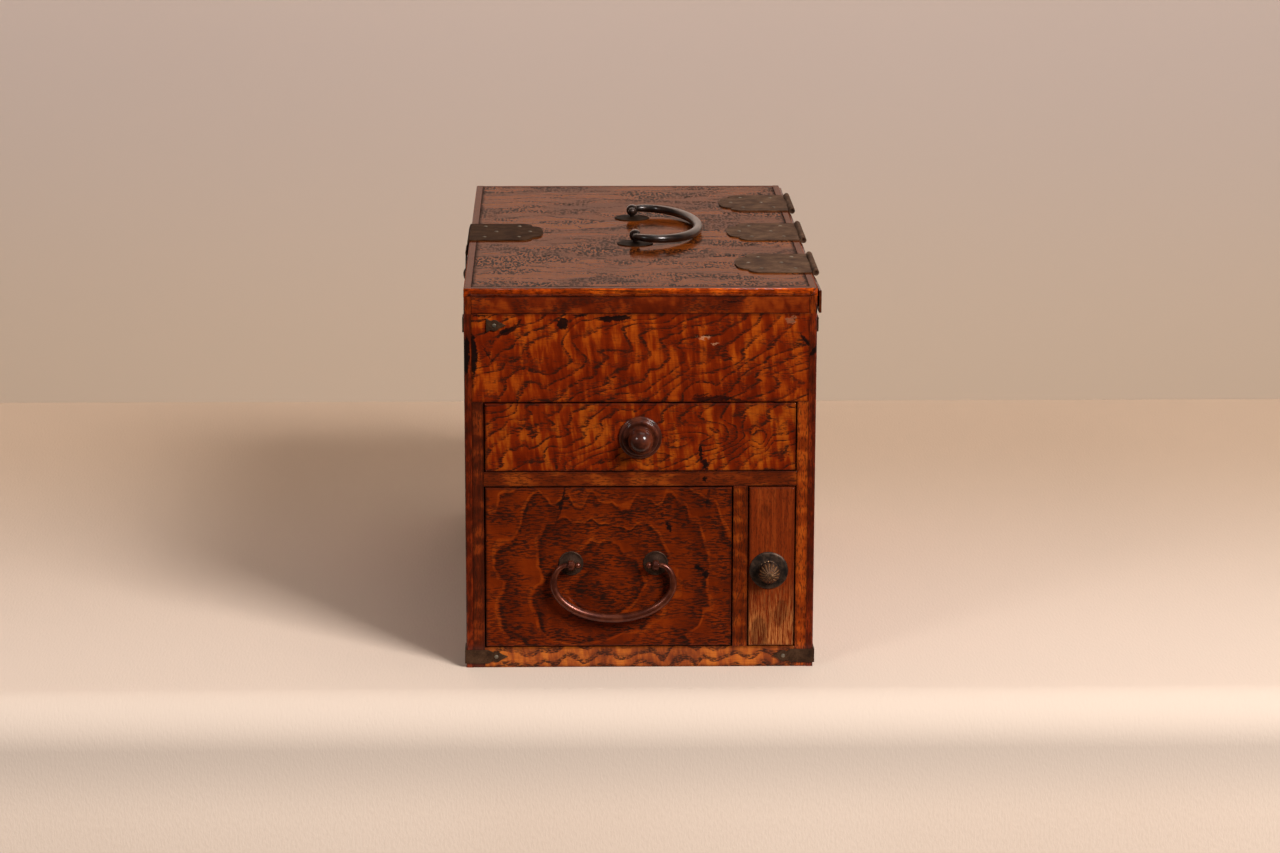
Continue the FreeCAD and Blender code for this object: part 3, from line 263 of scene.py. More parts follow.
figuredGrain = {
    "axes": "xzy", "seed": (0, 0, 0), "box": None,
    "tones": ((91, 21, 2), (121, 35, 4), (174, 75, 12)), "contrast": 1.1, "shade": 0.06,
    "line": (43, 20, 11), "lineWidth": 0.3, "lineStrength": 0.9, "glow": 0.12, "glowFrom": 0.5,
    "spacing": 10.4, "lift": 1.0, "slope": -0.7,  # the growth lines' height field, cut at even steps
    "wander": 30.0, "wanderLength": (44, 27, 60), "ripple": 2.2, "rippleLength": (12, 34, 34), "jitter": 1.5,
    "swirls": [], "rounds": [], "plateau": 100, "fingers": None,
    "bands": (6.6, 27, 30), "bandBend": 0.1,
    "pores": 0.62, "poreSize": (2.8, 0.8, 0.9), "dash": (0.48, 0.58), "poreReach": 0.75, "serrate": 3.2,
    "patch": 0.8, "patchFrom": 0.5, "patchSize": (26, 7, 22),
    # the edge tone: dirt in the joints, with painted shade along the face's edges
    "edge": 0.55, "edgeReach": 2.2, "grimeAndShade": (26, 9, 4), "marks": [], "soil": (15, 9, 8),
    "scuffs": [], "scuffTone": (196, 142, 104),
    "gloss": 0.8, "glossRough": 0.1, "glint": 0.04, "rough": 0.36, "relief": 0.14,
}


def figuredWood(name, **changes):
    # lacquered keyaki: beaded growth lines with a glow before each, shimmer across them, pores and marks
    wood = {**figuredGrain, **changes}
    f = Finish(name)
    point = f.place(wood["axes"])
    grown = point + wood["seed"]
    u, v, w = f.parts(point)
    # shimmer: bands that stand across the grain
    leaning = f.vector(u + v * wood["bandBend"], v, w) + wood["seed"]
    width, height, deep = wood["bands"]
    wide = f.noise(leaning, wood["bands"], 2, 0.5, 0.3)
    fine = f.noise(leaning, (width / 3.6, height / 2.4, deep / 2.4), 2, 0.55)
    shimmer = (wide * 0.72 + fine * 0.28).rise(0.36, 0.66)
    # growth lines: a wandering height field cut at even steps
    wander = f.noise(grown, wood["wanderLength"], 2, 0.4, 0.5) - 0.5
    ripples = f.noise(grown, wood["rippleLength"], 1, 0.4) - 0.5
    jitter = f.noise(grown, (7, 5, 9), 2, 0.5) - 0.5
    bent = point
    if wood["fingers"]:
        # the lines reach up in fingers along the upper part of the board
        length, reach, low, high = wood["fingers"]
        comb = f.noise(f.vector(u, wood["seed"][1], v), (length, 1, 60), 1, 0.4) - 0.5
        bent = f.vector(u, v - comb * v.rise(low, high) * reach, w)
    field = v * wood["lift"] + u * wood["slope"] + wander * (wood["wander"] * 2)
    field = field + ripples * (wood["ripple"] * 2) + jitter * wood["jitter"]
    for centreU, centreV, halfU, halfV, amount in wood["swirls"]:
        field = field + f.spot(point, (centreU, centreV), (halfU, halfV)).rise(1.0, 0.0) * amount
    for centreU, centreV, halfU, halfV, amount in wood["rounds"]:
        # nested outlines, squarer than an ellipse
        across, up = f.parts((bent - (centreU, centreV, 0)) / (halfU, halfV, 1))[:2]
        dome = (1 - (across.size() ** 3 + up.size() ** 3) ** (1 / 3)) * amount
        field = field + dome.least(wood["plateau"])
    # pores: short dashes along the grain, thick in patches; they also serrate the growth lines
    dashes = f.noise(grown, wood["poreSize"], 2, 0.6)
    ring = ((field + (dashes - 0.5) * wood["serrate"]) / wood["spacing"]).fraction()
    broken = f.noise(grown, (16, 8, 16), 2, 0.5).rise(0.36, 0.58)
    patch = f.noise(grown + (50, 50, 50), wood["patchSize"], 2, 0.5)
    patch = patch.rise(wood["patchFrom"], wood["patchFrom"] + 0.1)
    fade = f.noise(grown + (90, 20, 40), (30, 16, 30), 1, 0.5).rise(0.36, 0.5)
    early = ring.rise(wood["lineWidth"], wood["lineWidth"] * 0.6) * ring.rise(0.0, 0.05)
    late = ring.rise(wood["poreReach"], 0.05)
    line = early * (dashes.rise(0.4, 0.52) * 0.82 + 0.18) * (fade * 0.6 + 0.4) * wood["lineStrength"]
    pore = dashes.rise(*wood["dash"]) * (late * 0.6 + patch * wood["patch"] + 0.06).least(1.0) * wood["pores"]
    # colour: shimmer, glow and cloud first, then fibres, pores, lines, marks, and edge dirt with painted
    # shade
    cloud = f.noise(grown, (45, 34, 45), 2, 0.5).rise(0.3, 0.7)
    glow = ring.rise(wood["glowFrom"], 0.88) * ring.rise(1.0, 0.94) * (broken * 0.6 + 0.4)
    light = glow * wood["glow"] + shimmer * (0.8 - wood["glow"]) + cloud * 0.2 - late * wood["shade"]
    light = (light - 0.5) * wood["contrast"] + 0.5
    base = f.shades(light, wood["tones"], 0.42)
    fibres = f.noise(grown, (9, 0.4, 0.4), 1, 0.5)
    base = f.mix(base, wood["tones"][0], fibres.rise(0.45, 0.75) * 0.4)
    base = f.mix(base, wood["line"], pore)
    base = f.mix(base, wood["line"], line)
    base = stained(f, base, wood["scuffTone"], point, wood["scuffs"], 2.4)
    base = stained(f, base, wood["soil"], point, wood["marks"])
    rough = wood["rough"] + pore * 0.25 + fibres * 0.08
    coat = (1 - pore * 0.45 - line * 0.4) * wood["gloss"]
    # dirt in the joints and painted shade along the face's edges; the coat is thinner there
    if wood["box"]:
        worn = edgeShade(f, point, wood["box"], wood["edgeReach"]) * wood["edge"]
        base = f.mix(base, wood["grimeAndShade"], worn)
        coat = coat * (1 - worn * 0.7)
    height = f.noise(point, 17, 2, 0.5) * 0.75 - pore * 0.16 - line * 0.1
    return f.close(base, rough, height, wood["relief"], coat=coat, coatRough=wood["glossRough"],
                   glint=wood["glint"])


straightGrain = {
    "axes": "zxy", "seed": (0, 0, 0), "box": None,
    "tones": ((88, 29, 8), (123, 46, 14), (151, 69, 25)), "line": (48, 19, 7),
    "fibre": (60, 0.9, 0.9), "streak": (110, 3.2, 3.2), "mottle": 0.35, "mottleSize": (9, 5, 7),
    "pores": 0.66, "poreSize": (3.2, 0.75, 0.75),
    "pale": None, "paleTone": (192, 120, 62),  # heights between which the finish is worn through
    "paintedTopShade": 0.0, "paintedTopShadeTone": (80, 36, 12),  # painted shade: the upper faces are made darker
    # the edge tone: dirt in the joints, with painted shade along the face's edges
    "edge": 0.45, "edgeReach": 1.7, "grimeAndShade": (28, 9, 4), "marks": [], "soil": (14, 7, 5),
    "gloss": 0.7, "glossRough": 0.11, "glint": 0.04, "rough": 0.38, "relief": 0.14,
}


def straightWood(name, **changes):
    # lacquered keyaki cut with straight grain, for the narrow pieces of the case
    wood = {**straightGrain, **changes}
    f = Finish(name)
    point = f.place(wood["axes"])
    grown = point + wood["seed"]
    swayed = grown + f.sway(grown, (40, 12, 12), (0.0, 3.0, 3.0))
    streak = f.noise(swayed, wood["streak"], 3, 0.55)
    fibre = f.noise(swayed, wood["fibre"], 2, 0.55)
    mottle = f.noise(grown, wood["mottleSize"], 2, 0.55).rise(0.36, 0.66)
    light = (streak * 0.6 + fibre * 0.4).rise(0.3, 0.7) * (1 - wood["mottle"]) + mottle * wood["mottle"]
    base = f.shades(light, wood["tones"])
    pore = f.noise(grown, wood["poreSize"], 2, 0.6).rise(0.5, 0.61) * wood["pores"]
    base = f.mix(base, wood["line"], pore)
    base = f.mix(base, wood["line"], streak.rise(0.6, 0.74) * 0.75)
    if wood["pale"]:
        # thin scratches in browned wood
        low, high = wood["pale"]
        scratch = f.noise(grown, (11, 0.34, 0.34), 2, 0.7).rise(0.49, 0.58)
        reach = f.parts(point)[0].rise(high, low)
        base = f.mix(base, wood["tones"][0], reach * 0.4)
        base = f.mix(base, wood["paleTone"], scratch * reach * 0.76)
    base = stained(f, base, wood["soil"], point, wood["marks"])
    # dirt in the joints and painted shade along the face's edges
    if wood["box"]:
        worn = edgeShade(f, point, wood["box"], wood["edgeReach"]) * wood["edge"]
        base = f.mix(base, wood["grimeAndShade"], worn)
    # painted shade: faces that look upward are darkened towards the top tone
    if wood["paintedTopShade"]:
        upper = f.parts(f.node("ShaderNodeNewGeometry", out="Normal"))[2].rise(0.5, 0.9)
        base = f.mix(base, wood["paintedTopShadeTone"], upper * wood["paintedTopShade"])
    height = f.noise(point, (15, 9, 9), 2, 0.5) * 0.7 + fibre * 0.12 - pore * 0.18
    rough = wood["rough"] + pore * 0.2 + fibre * 0.1
    return f.close(base, rough, height, wood["relief"], coat=(1 - fibre * 0.3) * wood["gloss"],
                   coatRough=wood["glossRough"], glint=wood["glint"])


bareGrain = {
    "axes": "yxz", "seed": (0, 0, 0), "tones": ((126, 90, 58), (150, 111, 73), (166, 128, 88)),
    # the recess tone is painted shade, for boards that lie under things
    "fibre": (98, 66, 41), "cloud": (84, 52, 32), "dusk": 0.0, "duskTone": (70, 44, 27),
    "rough": 0.62, "glint": 0.3, "relief": 0.12,
}


def bareWood(name, **changes):
    # bare paulownia inside the drawers and the case, browned by age
    wood = {**bareGrain, **changes}
    f = Finish(name)
    point = f.place(wood["axes"]) + wood["seed"]
    rings = f.noise(point + f.sway(point, (70, 25, 25), (0.0, 9.0, 9.0)), (220, 4.2, 6), 2, 0.6)
    fibre = f.noise(point, (30, 0.5, 0.5), 2, 0.6)
    cloud = f.noise(point, (60, 40, 40), 3, 0.6)
    base = f.shades(rings.rise(0.25, 0.75), wood["tones"])
    base = f.mix(base, wood["fibre"], fibre.rise(0.5, 0.78) * 0.35)
    base = f.mix(base, wood["cloud"], cloud.rise(0.45, 0.85) * 0.6)
    # painted shade: the boards that lie under things are darkened
    base = f.mix(base, wood["duskTone"], (cloud * 0.5 + 0.7) * wood["dusk"])
    return f.close(base, wood["rough"] + fibre * 0.16, fibre * 0.5 + rings * 0.3, wood["relief"],
                   glint=wood["glint"])


# metals

sheetIron = {
    "rough": 0.58, "metal": 0.75, "glint": 0.08, "rub": 0.25, "rubTone": (150, 126, 104), "relief": 0.12,
    "grain": 1.0,
}


def ironFinish(name, **changes):
    # hammered sheet iron under old rust and lacquer
    iron = {**sheetIron, **changes}
    f = Finish(name)
    point = f.place() * iron["grain"]
    cloud = f.noise(point, 9, 4, 0.62)
    speck = f.noise(point, 0.9, 3, 0.65)
    pits = f.cells(point, 1.5).rise(0.28, 0.05)
    base = f.shades((cloud * 0.7 + speck * 0.3).rise(0.3, 0.7), iron["tones"])
    base = f.mix(base, iron["tones"][0], pits * 0.6)
    rubbed = f.noise(point, 3.5, 4, 0.7).rise(0.6, 0.78) * iron["rub"]
    base = f.mix(base, iron["rubTone"], rubbed)
    hammered = f.cells(point, 3.2, "SMOOTH_F1")
    height = hammered * 0.5 + cloud * 0.35 + speck * 0.15 - pits * 0.2
    return f.close(base, iron["rough"] + speck * 0.22 - rubbed * 0.25, height, iron["relief"],
                   metal=iron["metal"], glint=iron["glint"])


castBronze = {"rough": 0.26, "metal": 0.8, "coat": 0.35, "coatRough": 0.08, "glint": 0.5, "relief": 0.02}


def bronzeFinish(name, **changes):
    # cast and chased bronze with a dark lacquered patina, rubbed lighter where hands reach
    bronze = {**castBronze, **changes}
    f = Finish(name)
    point = f.place()
    cloud = f.noise(point, 6, 3, 0.6)
    speck = f.noise(point, 0.7, 3, 0.6)
    base = f.shades(cloud.rise(0.3, 0.7), bronze["tones"])
    base = f.mix(base, bronze["rub"], (cloud * 0.5 + speck * 0.5).rise(0.56, 0.8) * 0.4)
    return f.close(base, bronze["rough"] + speck * 0.12, cloud * 0.7 + speck * 0.3, bronze["relief"],
                   metal=bronze["metal"], coat=bronze["coat"], coatRough=bronze["coatRough"],
                   glint=bronze["glint"])


# mesh helpers

weldGap, seamGap = 2e-6, 1e-7  # metres between points that are one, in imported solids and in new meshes


def linked(name, mesh):
    piece = bpy.data.objects.new(name, mesh)
    bpy.context.scene.collection.objects.link(piece)
    return piece


def finished(piece, nodeName, material, replaces=True):
    # the piece's material, and the body and node that it stands for
    piece.data.materials.clear()
    piece.data.materials.append(material)
    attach(piece, bodyOf[nodeName])
    if replaces:
        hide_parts(nodeName)


def meshPiece(name, nodeName, points, faces, material, crease, replaces=True):
    mesh = bpy.data.meshes.new(name)
    mesh.from_pydata([tuple(point) for point in points], [], faces)
    mesh.validate()
    work = bmesh.new()
    work.from_mesh(mesh)
    bmesh.ops.remove_doubles(work, verts=work.verts, dist=seamGap)
    bmesh.ops.recalc_face_normals(work, faces=work.faces)
    work.to_mesh(mesh)
    work.free()
    mesh.shade_smooth()
    mesh.set_sharp_from_angle(angle=math.radians(crease))
    finished(linked(name, mesh), nodeName, material, replaces)


wear = {"flat": 1, "sharp": 28, "shortest": 1.2, "weight": 80}  # degrees, degrees, widths, normals' weight


def softEdged(nodeName, material, width, segments=2):
    # a copy of a solid with its edges worn round, width in millimetres
    mesh = nodes[nodeName].data.copy()
    mesh.name = nodeName + "_worn"
    work = bmesh.new()
    work.from_mesh(mesh)
    bmesh.ops.remove_doubles(work, verts=work.verts, dist=weldGap)
    bmesh.ops.dissolve_limit(work, angle_limit=math.radians(wear["flat"]), verts=work.verts, edges=work.edges)
    sharp = [edge for edge in work.edges
             if len(edge.link_faces) == 2 and edge.calc_face_angle(0) > math.radians(wear["sharp"])
             and edge.calc_length() > width * wear["shortest"] * mm]
    bmesh.ops.bevel(work, geom=sharp, offset=width * mm, offset_type="OFFSET", segments=segments, profile=0.5,
                    affect="EDGES", clamp_overlap=True)
    bmesh.ops.recalc_face_normals(work, faces=work.faces)
    work.to_mesh(mesh)
    work.free()
    mesh.shade_smooth()
    piece = linked(nodeName + "_worn", mesh)
    even = piece.modifiers.new("evenNormals", "WEIGHTED_NORMAL")
    even.mode = "FACE_AREA"
    even.weight = wear["weight"]
    finished(piece, nodeName, material)


def ringFaces(rings, steps, start=0):
    # quads between rings of points, and a cap at each end
    faces = []
    for ring in range(rings - 1):
        low, high = start + ring * steps, start + (ring + 1) * steps
        for step in range(steps):
            after = (step + 1) % steps
            faces.append((low + step, low + after, high + after, high + step))
    faces.append(tuple(start + step for step in range(steps))[::-1])
    faces.append(tuple(start + (rings - 1) * steps + step for step in range(steps)))
    return faces


def turnedPiece(name, nodeName, turning, material, shape=None, replaces=True):
    # the profile is (radius, height) along the axis from the centre, in millimetres
    axis, steps = Vector(turning["axis"]), turning["steps"]
    side = axis.orthogonal().normalized()
    other = axis.cross(side)
    points = []
    for radius, height in turning["profile"]:
        for step in range(steps):
            angle = 2 * math.pi * step / steps
            reach, lift = shape(radius, height, angle) if shape else (radius, height)
            spoke = side * math.cos(angle) + other * math.sin(angle)
            points.append((Vector(turning["centre"]) + spoke * reach + axis * lift) * mm)
    meshPiece(name, nodeName, points, ringFaces(len(turning["profile"]), steps), material, turning["crease"],
              replaces)


# camera, lamps and stage

view = {"place": (-0.0506, -2.2983, 0.6392), "yaw": 1.37, "pitch": 13.04, "roll": 0.14, "lens": 100.86,
        "sensor": 36}


def makeCamera():
    yaw, pitch, roll = (math.radians(view[key]) for key in ("yaw", "pitch", "roll"))
    ahead = Vector((math.sin(yaw) * math.cos(pitch), math.cos(yaw) * math.cos(pitch), -math.sin(pitch)))
    level = Vector((math.cos(yaw), -math.sin(yaw), 0))
    upright = level.cross(ahead)
    right = level * math.cos(roll) + upright * math.sin(roll)
    up = upright * math.cos(roll) - level * math.sin(roll)
    camera = linked("viewCamera", bpy.data.cameras.new("viewCamera"))
    camera.data.lens = view["lens"]
    camera.data.sensor_width = view["sensor"]
    camera.data.sensor_fit = "HORIZONTAL"
    turn = Matrix((right, up, -ahead)).transposed().to_4x4()
    camera.matrix_world = Matrix.Translation(view["place"]) @ turn
    bpy.context.scene.camera = camera
    bpy.context.scene.view_settings.view_transform = "Standard"


lampColour = (1.0, 0.985, 0.97)
lamps = {
    "rightSoftbox": {"place": (2.0, -2.4, 2.25), "aim": (0, -0.1, 0.1), "size": (1.2, 1.2), "power": 180},
    "leftSoftbox": {"place": (-1.5, -1.8, 1.5), "aim": (0, -0.1, 0.12), "size": (0.5, 0.5), "power": 12},
    "ceiling": {"place": (0.5, 0.1, 2.6), "aim": (0.1, 0, 0), "size": (1.6, 1.4), "power": 11},
    "wallWash": {"place": (-0.3, 1.1, 2.3), "aim": (-0.4, 1.95, 1.9), "size": (1.6, 0.6), "power": 44},
}
room = {"colour": (1.0, 0.97, 0.94, 1), "light": 0.1, "seen": 0.5}  # dim as a light, pale to the camera


def makeLamps():
    for name, lamp in lamps.items():
        light = bpy.data.lights.new(name, "AREA")
        light.shape = "RECTANGLE"
        light.size, light.size_y = lamp["size"]
        light.energy = lamp["power"]
        light.color = lampColour
        holder = linked(name, light)
        holder.location = lamp["place"]
        ahead = Vector(lamp["aim"]) - Vector(lamp["place"])
        holder.rotation_euler = ahead.to_track_quat("-Z", "Y").to_euler()
    f = Finish("room", bpy.data.worlds)
    seen = f.node("ShaderNodeLightPath", out="Is Camera Ray")
    strength = seen * (room["seen"] - room["light"]) + room["light"]
    sky = f.node("ShaderNodeBackground", sockets={"Color": room["colour"], "Strength": strength})
    f.node("ShaderNodeOutputWorld", sockets={"Surface": sky})
    bpy.context.scene.world = f.owner


# metres: a rounded table top under a cloth, a floor below it and a wall behind
tableTop = {"front": -0.262, "back": 0.58, "round": 0.03, "steps": 8, "drop": 0.75}
surround = {"wall": 1.95, "wallTop": 3.2, "floorFront": -6.0, "half": 6.0, "crease": 40}


def makeStage():
    radius, drop = tableTop["round"], tableTop["drop"]
    front, back = tableTop["front"] + radius, tableTop["back"] - radius
    corner = [math.pi / 2 * step / tableTop["steps"] for step in range(tableTop["steps"] + 1)]
    cloth = [(tableTop["front"], -drop)]
    cloth += [(front - radius * math.cos(angle), radius * math.sin(angle) - radius) for angle in corner]
    cloth += [(back + radius * math.sin(angle), radius * math.cos(angle) - radius) for angle in corner]
    cloth.append((tableTop["back"], -drop))
    wall = [(surround["wall"], -drop), (surround["wall"], surround["wallTop"])]
    floor = [(surround["floorFront"], -drop), (surround["wall"], -drop)]
    stagePiece("tableCloth", cloth, clothFinish())
    stagePiece("backWall", wall, wallFinish())
    stagePiece("darkFloor", floor, floorFinish())


def stagePiece(name, line, material):
    # a wide sheet along a line of (y, z) points
    points = [(across, y, z) for across in (-surround["half"], surround["half"]) for y, z in line]
    faces = [(step, step + 1, len(line) + step + 1, len(line) + step) for step in range(len(line) - 1)]
    mesh = bpy.data.meshes.new(name)
    mesh.from_pydata(points, [], faces)
    mesh.shade_smooth()
    mesh.set_sharp_from_angle(angle=math.radians(surround["crease"]))
    mesh.materials.append(material)
    return linked(name, mesh)


creamCloth = {
    "tones": ((235, 209, 188), (243, 219, 199)), "cloudSize": (380, 300, 300), "rough": 0.95, "relief": 0.25,
    "weave": (206, 179, 156), "weaveStrength": 0.14, "weaveSize": (1 / 0.7, 1 / 0.16, 1 / 0.3),
    "top": (215, 194, 177), "topFrom": (-75, -28), "far": (190, 164, 141), "farFrom": (-200, 430),
}


def clothFinish():
    f = Finish("creamCloth")
    point = f.place()
    y, z = f.parts(point)[1:]
    weave = f.noise(point, creamCloth["weaveSize"], 2, 0.6)
    cloud = f.noise(point, creamCloth["cloudSize"], 3, 0.5)
    base = f.shades(cloud.rise(0.2, 0.8), creamCloth["tones"])
    base = f.mix(base, creamCloth["weave"], weave.rise(0.4, 0.7) * creamCloth["weaveStrength"])
    # painted shade: the top and rounded edge of the cloth are darker than its hanging front, where the lamps
    # light it most
    base = f.mix(base, creamCloth["top"], z.rise(*creamCloth["topFrom"]))
    # painted shade: the cloth darkens towards the back, as the lamps' light falls off
    base = f.mix(base, creamCloth["far"], y.rise(*creamCloth["farFrom"]))
    return f.close(base, creamCloth["rough"] + weave * 0.05, weave * 0.6 + cloud * 0.4, creamCloth["relief"],
                   glint=0.0)


darkFloor = {"tones": ((46, 38, 33), (58, 49, 43)), "seen": ((196, 172, 154), (202, 179, 162)),
             "cloudSize": 60, "rough": 0.9, "relief": 0.5}


def floorFinish():
    # the camera sees a pale floor, and the lacquered front a dark one
    f = Finish("darkFloor")
    cloud = f.noise(f.place(), darkFloor["cloudSize"], 2, 0.5)
    seen = f.node("ShaderNodeLightPath", out="Is Camera Ray")
    base = f.mix(*darkFloor["tones"], cloud)
    lit = f.mix((0, 0, 0), f.mix(*darkFloor["seen"], cloud), seen)
    return f.close(base, darkFloor["rough"] + cloud * 0.05, cloud, darkFloor["relief"], glint=0.0, lit=lit)


greyWall = {"tones": ((200, 178, 165), (208, 187, 174)), "low": (216, 190, 166), "lowFrom": (150, -330),
            "cloudSize": 900, "rough": 0.95, "relief": 0.2}


def wallFinish():
    # warmer and lighter low down, by the table
    f = Finish("greyWall")
    point = f.place()
    cloud = f.noise(point, greyWall["cloudSize"], 2, 0.5)
    base = f.mix(*greyWall["tones"], cloud)
    base = f.mix(base, greyWall["low"], f.parts(point)[2].rise(*greyWall["lowFrom"]))
    return f.close(base, greyWall["rough"] + cloud * 0.05, cloud, greyWall["relief"], glint=0.0)


makeCamera()
makeLamps()
makeStage()
print("camera, lamps and stage made")


# case and lid woods

def faceBox(nodeName, axes):
    # the node's box in millimetres on the two face axes
    low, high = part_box(nodeName)
    first, second = ("xyz".index(axis) for axis in axes[:2])
    return (low[first] / mm, low[second] / mm, high[first] / mm, high[second] / mm)


